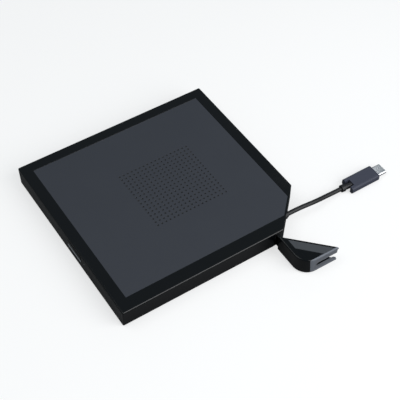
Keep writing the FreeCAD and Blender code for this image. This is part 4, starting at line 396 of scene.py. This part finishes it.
# %% Plastics and rubbers
finishes = {
    "gloss_black": finish("gloss_black", linear(6, 8, 11), 0.14, bump=0.01, unevenness=0.05,
                          hairlines=0.12, dust=0.15, edge=0.5, wear=0.05, specular=0.4),
    "matte_panel": finish("matte_panel", linear(59, 62, 69), 0.6, per_metre=5200.0, bump=0.12,
                          unevenness=0.08, hairlines=0.05, dust=0.1, edge=0.1, wear=0.15,
                          specular=0.25),
    "matte_grey": finish("matte_grey", linear(103, 106, 113), 0.5, per_metre=4200.0, bump=0.12,
                         unevenness=0.1, edge=0.12, wear=0.3),
    "matte_black": finish("matte_black", linear(27, 28, 30), 0.55, per_metre=3800.0, bump=0.15,
                          unevenness=0.12, edge=0.12),
    # The pale band on the lower part of the eject button, below 8.1 mm, is a painted highlight along its
    # lower edge.
    "button_black": finish("button_black", linear(16, 17, 20), 0.2, bump=0.02, unevenness=0.05,
                           edge=0.2, wear=0.25, band=("Z", 8.2, 8.1, linear(232, 233, 236))),
    "foot_rubber": finish("foot_rubber", linear(34, 34, 35), 0.75, per_metre=1800.0, bump=0.25,
                          unevenness=0.15, hairlines=0.02, edge=0.3, wear=0.3),
    "bushing_rubber": finish("bushing_rubber", linear(24, 24, 25), 0.7, per_metre=2200.0, bump=0.2,
                             edge=0.1),
    "cord_sheath": finish("cord_sheath", linear(26, 26, 27), 0.5, per_metre=3000.0, bump=0.1,
                          unevenness=0.1, hairlines=0.05, edge=0.05, wear=0.0),
    "plug_grip": finish("plug_grip", linear(65, 68, 81), 0.5, per_metre=4500.0, bump=0.12,
                        unevenness=0.08, edge=0.15, wear=0.15, specular=0.3),
    "tray_plastic": finish("tray_plastic", linear(30, 31, 33), 0.42, per_metre=3200.0, bump=0.1,
                           unevenness=0.08, edge=0.12),
    "hub_plastic": finish("hub_plastic", linear(200, 200, 196), 0.4, per_metre=2600.0, bump=0.05,
                          edge=0.1, wear=0.0),
    "lever_plastic": finish("lever_plastic", linear(205, 203, 195), 0.4, per_metre=2600.0, bump=0.05,
                            edge=0.1, wear=0.0),
    "guide_plastic": finish("guide_plastic", linear(28, 28, 30), 0.4, per_metre=2600.0, bump=0.05),
    "connector_black": finish("connector_black", linear(24, 24, 25), 0.5, per_metre=3000.0, bump=0.08),
    "chip_black": finish("chip_black", linear(28, 28, 30), 0.6, per_metre=4200.0, bump=0.12),
    "flex_film": finish("flex_film", linear(186, 120, 58), 0.3, per_metre=900.0, bump=0.03, wear=0.0),
    "board_green": finish("board_green", linear(22, 74, 46), 0.35, per_metre=700.0, bump=0.05,
                          unevenness=0.2, coat=0.4),
}
print("plastics and rubbers:", len(finishes))

# %% [markdown]
# ### Metals
# The mechanism is pressed from galvanised sheet, turned from steel and cast in a light
# alloy. They are metals of one shader too, told apart by their tint, by how rough they are
# and by the size of their grain.

# %% Metals
STEEL = linear(172, 174, 178)
finishes.update({
    "sheet_steel": finish("sheet_steel", linear(158, 160, 163), 0.38, 1.0, per_metre=420.0, bump=0.05,
                          unevenness=0.25, hairlines=0.2, edge=0.1, wear=0.1),
    "rail_steel": finish("rail_steel", linear(150, 152, 156), 0.3, 1.0, per_metre=900.0, bump=0.04,
                         hairlines=0.2, edge=0.1),
    "pin_steel": finish("pin_steel", STEEL, 0.2, 1.0, per_metre=1500.0, bump=0.02, hairlines=0.15),
    "screw_steel": finish("screw_steel", linear(96, 97, 102), 0.32, 1.0, per_metre=1500.0, bump=0.03,
                          hairlines=0.15, edge=0.1),
    "plated_shell": finish("plated_shell", linear(226, 227, 230), 0.16, 1.0, per_metre=1800.0,
                           bump=0.02, hairlines=0.1, edge=0.15),
    "rotor_metal": finish("rotor_metal", linear(150, 151, 154), 0.28, 1.0, per_metre=1600.0, bump=0.02,
                          hairlines=0.2, edge=0.15),
    "stator_steel": finish("stator_steel", linear(120, 121, 124), 0.45, 1.0, per_metre=1400.0, bump=0.1),
    "sled_alloy": finish("sled_alloy", linear(146, 147, 150), 0.5, 1.0, per_metre=1600.0, bump=0.3,
                         unevenness=0.2, edge=0.2),
})
print("finishes so far:", len(finishes))

# %% [markdown]
# ### Clear pieces
# The light guide in the tray front and the small lens over the laser are clear. A light
# guide is cloudy acrylic, so a translucent white reads right. The lens has a thin coating
# that tints its gloss blue, which the coat of the shader gives.

# %% Clear pieces
def clear(name, colour, roughness, transmission):
    """A coated clear finish that lets a share of the light through."""
    material = bpy.data.materials.new(name)
    material.use_nodes = True
    tree = material.node_tree
    tree.nodes.clear()
    edges = place_group(tree, edge_group, Radius=0.15 * MM, Wear=0.0)
    scratch = place_group(tree, hairline_group, Amount=0.1)
    shader = add_node(tree, "ShaderNodeBsdfPrincipled", None, Base_Color=colour,
                      Roughness=calculate(tree, "ADD", roughness, scratch.outputs["Roughness"]),
                      Normal=edges.outputs["Normal"])
    shader.inputs["Transmission Weight"].default_value = transmission
    shader.inputs["Coat Weight"].default_value = 1.0
    output = add_node(tree, "ShaderNodeOutputMaterial")
    tree.links.new(shader.outputs[0], output.inputs["Surface"])
    return material


finishes["light_clear"] = clear("light_clear", linear(205, 212, 220), 0.25, 0.5)
finishes["lens_glass"] = clear("lens_glass", linear(70, 96, 150), 0.03, 0.6)
print("all finishes:", len(finishes))

# %% [markdown]
# ### Each piece takes its finish
# On the real drive each piece is moulded or pressed in one material. A finish could be given
# by hand, piece by piece. The record of the solids already names the material of each one,
# so the finishes carry the same names and are found by them.

# %% Finishes on the solids
slots = {entry["node"]: entry["material_slot"] for entry in frame["record"]["subparts"]}
for name, node in nodes.items():
    material = finishes[slots[name]]
    if node.material_slots:
        node.material_slots[0].material = material
    else:
        node.data.materials.append(material)
print("CAD pieces with a finish:", len(nodes))

# %% [markdown]
# ### Pieces with a finish of their own
# Three pieces differ a little from the rest of their kind. The neck of the plug is a darker
# rubber, the inlay of the door is a shade lighter than the panel, and the open end of the
# door is a pale rim round its end plate. The rim could be a piece of its own. It belongs to
# the same moulding as the door, so one finish changes its colour along the door instead.

# %% Own finishes
own = {
    "plug_neck": finish("neck_rubber", linear(24, 24, 27), 0.5, per_metre=3000.0, bump=0.1, edge=0.1),
    "door_inlay": finish("door_panel", linear(70, 73, 77), 0.6, per_metre=5200.0, bump=0.12,
                         unevenness=0.08, hairlines=0.05, dust=0.1, edge=0.1, wear=0.15, specular=0.25),
    "door_shell": finish("door_gloss", linear(5, 7, 10), 0.14, bump=0.01, unevenness=0.05,
                         hairlines=0.12, dust=0.15, edge=0.4, wear=0.05, specular=0.35,
                         band=("X", 96.45, 96.55, linear(110, 114, 122))),
}
for name, material in own.items():
    nodes[name].material_slots[0].material = material
print("own finishes:", sorted(own))


# %% [markdown]
# ## Repeated and wound pieces
# Screws and dimples repeat one small form, and a spring and a thread follow a spiral. Each
# could be modelled by hand and copied. Geometry Nodes say the rule instead: a few named
# sizes, where the copies go, and the form itself. The result is turned into a plain mesh.

# %% Helpers for geometry trees
def geometry_tree(name, inputs):
    """A geometry tree with named float inputs, its group input and group output."""
    tree = bpy.data.node_groups.new(name, "GeometryNodeTree")
    tree.interface.new_socket("Geometry", in_out="INPUT", socket_type="NodeSocketGeometry")
    tree.interface.new_socket("Geometry", in_out="OUTPUT", socket_type="NodeSocketGeometry")
    sockets = {}
    for label, value in inputs:
        kind = "NodeSocketInt" if isinstance(value, int) else "NodeSocketFloat"
        socket = tree.interface.new_socket(label, in_out="INPUT", socket_type=kind)
        socket.default_value = value
        sockets[label] = socket.identifier
    return tree, sockets, tree.nodes.new("NodeGroupInput"), tree.nodes.new("NodeGroupOutput")


def close_tree(tree, geometry, material, outs):
    """End a tree: make the instances real and give them their finish."""
    real = add_node(tree, "GeometryNodeRealizeInstances", None, Geometry=geometry).outputs[0]
    done = add_node(tree, "GeometryNodeSetMaterial", None, Geometry=real, Material=material).outputs[0]
    tree.links.new(done, outs.inputs["Geometry"])


def grown(name, tree, sockets, values, body, slot, points=((0.0, 0.0, 0.0),), smooth=35.0):
    """Run a tree on some points and keep the result as a plain mesh on a body."""
    seed = bpy.data.meshes.new(name + "_points")
    seed.from_pydata([tuple(point) for point in points], [], [])
    holder = bpy.data.objects.new(name + "_points", seed)
    bpy.context.scene.collection.objects.link(holder)
    modifier = holder.modifiers.new("rule", "NODES")
    modifier.node_group = tree
    for label, value in values.items():
        modifier[sockets[label]] = value
    bpy.context.view_layer.update()
    evaluated = holder.evaluated_get(bpy.context.evaluated_depsgraph_get())
    mesh = bpy.data.meshes.new_from_object(evaluated)
    mesh.name = name
    holder.modifiers.remove(modifier)
    bpy.data.objects.remove(holder)
    mesh.materials.clear()
    mesh.materials.append(finishes[slot])
    for polygon in mesh.polygons:
        polygon.use_smooth = True
    mesh.set_sharp_from_angle(angle=math.radians(smooth))
    piece = bpy.data.objects.new(name, mesh)
    bpy.context.scene.collection.objects.link(piece)
    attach(piece, body)
    print(name, "faces:", len(mesh.polygons))
    return piece


# %% [markdown]
# ### Screws
# Small machine screws hold the case, the mechanism and the cover under the tray. Their heads
# point down, with a cross recess for the driver. One tree cuts the cross out of a head with
# a rounded rim, adds the shank, and sets a copy at each point, turned by its own seeded
# angle, as no two screws stop alike.

# %% Screws
HEAD_SIDES = 40
SHANK_SIDES = 32
RIM_SHARE = 0.35
CROSS_REACH = 1.1
CROSS_DEPTH = 1.2
CROSS_WIDTH = 0.26
SCREW_SEED = 7
screw_tree, screw_inputs, ins, outs = geometry_tree("machine_screws", [
    ("Head Radius", 1.8 * MM), ("Head Height", 0.8 * MM), ("Shank Radius", 0.9 * MM),
    ("Length", 6.0 * MM), ("Cross Width", 0.5 * MM)])
given = ins.outputs
rim_height = calculate(screw_tree, "MULTIPLY", given["Head Height"], RIM_SHARE)
drum_height = calculate(screw_tree, "SUBTRACT", given["Head Height"], rim_height)
drum = add_node(screw_tree, "GeometryNodeMeshCone", None, Vertices=HEAD_SIDES,
                Radius_Top=given["Head Radius"], Radius_Bottom=given["Head Radius"],
                Depth=drum_height).outputs["Mesh"]
drum_lift = add_node(screw_tree, "ShaderNodeCombineXYZ", None, Z=rim_height).outputs[0]
drum = add_node(screw_tree, "GeometryNodeTransform", None, Geometry=drum,
                Translation=drum_lift).outputs[0]
face_radius = calculate(screw_tree, "SUBTRACT", given["Head Radius"], rim_height)
crown = add_node(screw_tree, "GeometryNodeMeshCone", None, Vertices=HEAD_SIDES,
                 Radius_Top=given["Head Radius"], Radius_Bottom=face_radius,
                 Depth=rim_height).outputs["Mesh"]
shank = add_node(screw_tree, "GeometryNodeMeshCone", None, Vertices=SHANK_SIDES,
                 Radius_Top=given["Shank Radius"], Radius_Bottom=given["Shank Radius"],
                 Depth=given["Length"]).outputs["Mesh"]
body_parts = add_node(screw_tree, "GeometryNodeMeshBoolean", {"operation": "UNION", "solver": "EXACT"})
for part in (drum, crown, shank):
    screw_tree.links.new(part, body_parts.inputs["Mesh 2"])
arm = calculate(screw_tree, "MULTIPLY", given["Head Radius"], CROSS_REACH)
cross_depth = calculate(screw_tree, "MULTIPLY", given["Head Height"], CROSS_DEPTH)
bars = []
for x, y in ((arm, given["Cross Width"]), (given["Cross Width"], arm)):
    size = add_node(screw_tree, "ShaderNodeCombineXYZ", None, X=x, Y=y, Z=cross_depth).outputs[0]
    bars.append(add_node(screw_tree, "GeometryNodeMeshCube", None, Size=size).outputs["Mesh"])
cut = add_node(screw_tree, "GeometryNodeMeshBoolean", {"operation": "DIFFERENCE", "solver": "EXACT"})
screw_tree.links.new(body_parts.outputs["Mesh"], cut.inputs["Mesh 1"])
for bar in bars:
    screw_tree.links.new(bar, cut.inputs["Mesh 2"])
turn = add_node(screw_tree, "FunctionNodeRandomValue", {"data_type": "FLOAT"}, Seed=SCREW_SEED)
turn.inputs[2].default_value = 0.0
turn.inputs[3].default_value = math.pi / 2
angle = add_node(screw_tree, "ShaderNodeCombineXYZ", None, Z=turn.outputs[1]).outputs[0]
copies = add_node(screw_tree, "GeometryNodeInstanceOnPoints", None, Points=ins.outputs["Geometry"],
                  Instance=cut.outputs["Mesh"], Rotation=angle).outputs[0]
close_tree(screw_tree, copies, finishes["screw_steel"], outs)


def screws(name, node, places, head_radius, head_height, shank_radius, body):
    """The screws of one node, from the underside of their heads to the node's top."""
    low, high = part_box(node)
    points = [(x * MM, y * MM, low.z) for x, y in places]
    values = {"Head Radius": head_radius * MM, "Head Height": head_height * MM,
              "Shank Radius": shank_radius * MM, "Length": high.z - low.z,
              "Cross Width": head_radius * CROSS_WIDTH * MM}
    piece = grown(name, screw_tree, screw_inputs, values, body, "screw_steel", points)
    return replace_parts(piece, node)


CASE_SCREWS = [(-58.0, 63.7), (35.5, 63.7)]
DRIVE_SCREWS = [(-57, -45), (-57, 32), (57, -45), (57, 32)]
TRAY_SCREWS = [(-17, -59), (-17, 6), (50, -59), (50, 6)]
screws("case_screw_set", "case_screws", CASE_SCREWS, 1.8, 0.8, 0.9, "case")
screws("drive_screw_set", "drive_screws", DRIVE_SCREWS, 1.8, 0.8, 1.0, "case")
screws("tray_screw_set", "tray_screws", TRAY_SCREWS, 1.4, 0.3, 0.7, "tray_unit")


# %% [markdown]
# ### Dimples of the panel
# The roof panel carries a grid of small blind dots. In the solids they are plain holes, and
# the real ones are moulded dishes. A grid of points with a dish on each says this directly.

# %% Dimples
DOT_RADIUS = 0.65
DOT_PITCH = 3.0
DOT_COLUMNS = 17
DOT_ROWS = 18
DOT_LEFT = -25.0
DOT_FRONT = -19.0
DISH_DEPTH = 0.5 * MM
DISH_SIDES = 20
DISH_BOTTOM = 0.45
panel_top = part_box("top_panel")[1].z
dimple_tree, dimple_inputs, ins, outs = geometry_tree("dimple_grid", [
    ("Pitch", DOT_PITCH * MM), ("Columns", DOT_COLUMNS), ("Rows", DOT_ROWS),
    ("Radius", DOT_RADIUS * MM), ("Depth", DISH_DEPTH)])
given = ins.outputs
spans = [calculate(dimple_tree, "MULTIPLY", calculate(dimple_tree, "SUBTRACT", given[label], 1.0),
                   given["Pitch"]) for label in ("Columns", "Rows")]
grid = add_node(dimple_tree, "GeometryNodeMeshGrid", None, Size_X=spans[0], Size_Y=spans[1],
                Vertices_X=given["Columns"], Vertices_Y=given["Rows"]).outputs["Mesh"]
bottom = calculate(dimple_tree, "MULTIPLY", given["Radius"], DISH_BOTTOM)
dish = add_node(dimple_tree, "GeometryNodeMeshCone", {"fill_type": "NGON"}, Vertices=DISH_SIDES,
                Radius_Top=given["Radius"], Radius_Bottom=bottom, Depth=given["Depth"])
hollow = add_node(dimple_tree, "GeometryNodeDeleteGeometry", {"domain": "FACE"},
                  Geometry=dish.outputs["Mesh"], Selection=dish.outputs["Top"]).outputs[0]
hollow = add_node(dimple_tree, "GeometryNodeFlipFaces", None, Mesh=hollow).outputs[0]
downward = calculate(dimple_tree, "MULTIPLY", given["Depth"], -1.0)
sinking = add_node(dimple_tree, "ShaderNodeCombineXYZ", None, Z=downward).outputs[0]
hollow = add_node(dimple_tree, "GeometryNodeTransform", None, Geometry=hollow,
                  Translation=sinking).outputs[0]
copies = add_node(dimple_tree, "GeometryNodeInstanceOnPoints", None, Points=grid,
                  Instance=hollow).outputs[0]
grid_middle = ((DOT_LEFT + DOT_PITCH * (DOT_COLUMNS - 1) / 2) * MM,
               (DOT_FRONT + DOT_PITCH * (DOT_ROWS - 1) / 2) * MM, panel_top)
copies = add_node(dimple_tree, "GeometryNodeTransform", None, Geometry=copies,
                  Translation=grid_middle).outputs[0]
close_tree(dimple_tree, copies, finishes["matte_panel"], outs)
dimples = grown("panel_dimples", dimple_tree, dimple_inputs, {}, "case", "matte_panel", smooth=30.0)
# The dishes take a darker grey than the panel round them: painted shade in the hollows.
dimples.material_slots[0].material = finish("dimple_painted_shade", linear(24, 26, 30), 0.5, bump=0.02)


# %% [markdown]
# ### The eject spring
# The tray starts out with the push of a small coil spring. Its turns could be one bent
# circle, copied by an array. A spiral curve with a thin section is the wire itself, and the
# same tree can make a thread.

# %% Eject spring
COIL_STEPS = 28
WIRE_SIDES = 10
coil_tree, coil_inputs, ins, outs = geometry_tree("coil", [
    ("Radius", 1.4 * MM), ("Length", 4.0 * MM), ("Turns", 8.0), ("Wire", 0.2 * MM)])
given = ins.outputs
spiral = add_node(coil_tree, "GeometryNodeCurveSpiral", None, Resolution=COIL_STEPS,
                  Rotations=given["Turns"], Start_Radius=given["Radius"],
                  End_Radius=given["Radius"], Height=given["Length"]).outputs[0]
wire = add_node(coil_tree, "GeometryNodeCurvePrimitiveCircle", None, Resolution=WIRE_SIDES,
                Radius=given["Wire"]).outputs["Curve"]
swept = add_node(coil_tree, "GeometryNodeCurveToMesh", None, Curve=spiral, Profile_Curve=wire,
                 Fill_Caps=True).outputs[0]
close_tree(coil_tree, swept, finishes["pin_steel"], outs)


def laid(piece, start, along):
    """Turn a piece made along Z so that it starts at a place and runs along a direction."""
    turn = Vector(along).to_track_quat("Z", "Y").to_matrix().to_4x4()
    turn.translation = Vector(start)
    piece.data.transform(turn)
    return piece


SPRING_WIRE = 0.2 * MM
SPRING_TURNS = 7.0
low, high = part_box("ejector_spring")
spring = grown("eject_coil", coil_tree, coil_inputs,
               {"Radius": (high.x - low.x) / 2 - SPRING_WIRE,
                "Length": high.y - low.y - 2 * SPRING_WIRE,
                "Turns": SPRING_TURNS, "Wire": SPRING_WIRE}, "case", "pin_steel")
laid(spring, ((low.x + high.x) / 2, low.y + SPRING_WIRE, (low.z + high.z) / 2), (0, 1, 0))
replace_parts(spring, "ejector_spring")

# %% [markdown]
# ### Thread of the feed screw
# The sled is driven by a screw that lies at 45 degrees across the box of its node. A thread
# could be cut into the shaft, which would change the solid. Here the same spiral lies on the
# shaft as a fine ridge. A nut that moves outward as the screw turns needs a left hand
# thread, with a lead of 3 mm, so the spiral is mirrored and its faces are turned outward.

# %% Feed thread
FEED_LEAD = 3.0 * MM
THREAD_WIRE = 0.12 * MM
THREAD_SEAT = 0.02 * MM
PLAIN_ENDS = 2.0 * MM
low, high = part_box("feed_screw")
along = Vector((1.0, -1.0, 0.0)).normalized()
feed_radius = (high.z - low.z) / 2
middle = (low + high) / 2
feed_length = (high.x - low.x) / along.x - 2 * feed_radius
thread_length = feed_length - PLAIN_ENDS
thread = grown("feed_thread", coil_tree, coil_inputs,
               {"Radius": feed_radius - THREAD_SEAT, "Length": thread_length,
                "Turns": thread_length / FEED_LEAD, "Wire": THREAD_WIRE}, "lead_screw", "pin_steel")
thread.data.transform(Matrix.Diagonal((1.0, -1.0, 1.0, 1.0)))
thread.data.flip_normals()
laid(thread, middle - along * thread_length / 2, along)
print("feed screw length in mm:", round(feed_length / MM, 1))


# %% [markdown]
# ## Studio floor
# The photograph is a cut-out on white. A bare white sheet would do for the camera, but a
# black glossy case mirrors it and turns grey. So the floor is white only to the camera, by
# its own glow, and keeps a faint shadow. To every other ray it is a dim grey sheet.

# %% Floor
def plain_plane(name, size, height):
    """A square sheet round the origin, facing up."""
    half = size / 2
    mesh = bpy.data.meshes.new(name)
    mesh.from_pydata([(-half, -half, height), (half, -half, height), (half, half, height),
                      (-half, half, height)], [], [(0, 1, 2, 3)])
    plane = bpy.data.objects.new(name, mesh)
    bpy.context.scene.collection.objects.link(plane)
    return plane


FLOOR_SIZE = 12.0
FLOOR_BOUNCE = (0.19, 0.19, 0.19, 1.0)
FLOOR_SEEN = (0.42, 0.42, 0.42, 1.0)
FLOOR_GLOW = 0.62
WHITE = (1.0, 1.0, 1.0, 1.0)
floor = plain_plane("floor", FLOOR_SIZE, 0.0)
paper = bpy.data.materials.new("paper")
paper.use_nodes = True
tree = paper.node_tree
tree.nodes.clear()
matt = add_node(tree, "ShaderNodeBsdfDiffuse", None, Color=FLOOR_BOUNCE)
shadow_catch = add_node(tree, "ShaderNodeBsdfDiffuse", None, Color=FLOOR_SEEN)
glow = add_node(tree, "ShaderNodeEmission", None, Color=WHITE, Strength=FLOOR_GLOW)
seen = add_node(tree, "ShaderNodeAddShader")
tree.links.new(shadow_catch.outputs[0], seen.inputs[0])
tree.links.new(glow.outputs[0], seen.inputs[1])
rays = add_node(tree, "ShaderNodeLightPath")
choice = add_node(tree, "ShaderNodeMixShader", None, Fac=rays.outputs["Is Camera Ray"])
tree.links.new(matt.outputs[0], choice.inputs[1])
tree.links.new(seen.outputs[0], choice.inputs[2])
output = add_node(tree, "ShaderNodeOutputMaterial")
tree.links.new(choice.outputs[0], output.inputs["Surface"])
floor.data.materials.append(paper)
print("floor side in metres:", FLOOR_SIZE)

# %% [markdown]
# ## Sky and lamps
# A soft box over the drive and a dim sky light its top evenly. A second large lamp stands
# low at the right, where the rounded roof edge mirrors it towards the camera as a thin
# bright line. The last lamp is small and close to the plug: its bright metal end all but
# vanishes on the white ground of the photograph, and this lamp whitens it in the same way.

# %% Sky
SKY_COLOUR = (0.78, 0.92, 1.0, 1.0)
SKY_STRENGTH = 0.25
world = bpy.data.worlds.new("studio")
bpy.context.scene.world = world
world.use_nodes = True
tree = world.node_tree
tree.nodes.clear()
sky = add_node(tree, "ShaderNodeBackground", None, Color=SKY_COLOUR, Strength=SKY_STRENGTH)
white = add_node(tree, "ShaderNodeBackground", None, Color=WHITE, Strength=1.0)
rays = add_node(tree, "ShaderNodeLightPath")
choice = add_node(tree, "ShaderNodeMixShader", None, Fac=rays.outputs["Is Camera Ray"])
tree.links.new(sky.outputs[0], choice.inputs[1])
tree.links.new(white.outputs[0], choice.inputs[2])
output = add_node(tree, "ShaderNodeOutputWorld")
tree.links.new(choice.outputs[0], output.inputs["Surface"])
print("sky strength:", SKY_STRENGTH)

# %% Lamps
SHELL_PLACE = Vector((0.0547, 0.134, 0.0038))
MIRRORED_VIEW = Vector((-0.5465, 0.3557, 0.7583))
KICKER_DISTANCE = 0.2


def lamp(name, azimuth, elevation, distance, size, power):
    """A round soft lamp that faces the origin, in degrees, metres and watts."""
    data = bpy.data.lights.new(name, "AREA")
    data.shape = "DISK"
    data.size = size
    data.energy = power
    light = bpy.data.objects.new(name, data)
    light.location = direction(azimuth, elevation) * distance
    light.rotation_euler = (-light.location).to_track_quat("-Z", "Y").to_euler()
    bpy.context.scene.collection.objects.link(light)
    return light


lamp("key", 340.0, 66.0, 1.2, 0.8, 3.2)
lamp("side", 115.0, 36.0, 1.0, 1.0, 8.5)
kicker = lamp("kicker", 0.0, 90.0, KICKER_DISTANCE, 0.06, 0.014)
kicker.location = SHELL_PLACE + MIRRORED_VIEW * KICKER_DISTANCE
kicker.rotation_euler = (-MIRRORED_VIEW).to_track_quat("-Z", "Y").to_euler()
bpy.context.scene.view_settings.view_transform = "Standard"
print("lamps:", [light.name for light in bpy.data.lights])


# %% [markdown]
# ## Joining the pieces to their bodies
# On the real drive the sheath of the cord is held by its gland and stays with the case. It
# could be parented by hand. Here it rides on the body of its solid, as every new piece does,
# and moves with it.

# %% Bodies and cord
cord.data.materials.append(finishes["cord_sheath"])
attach(cord, "case")
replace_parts(cord, "cord")
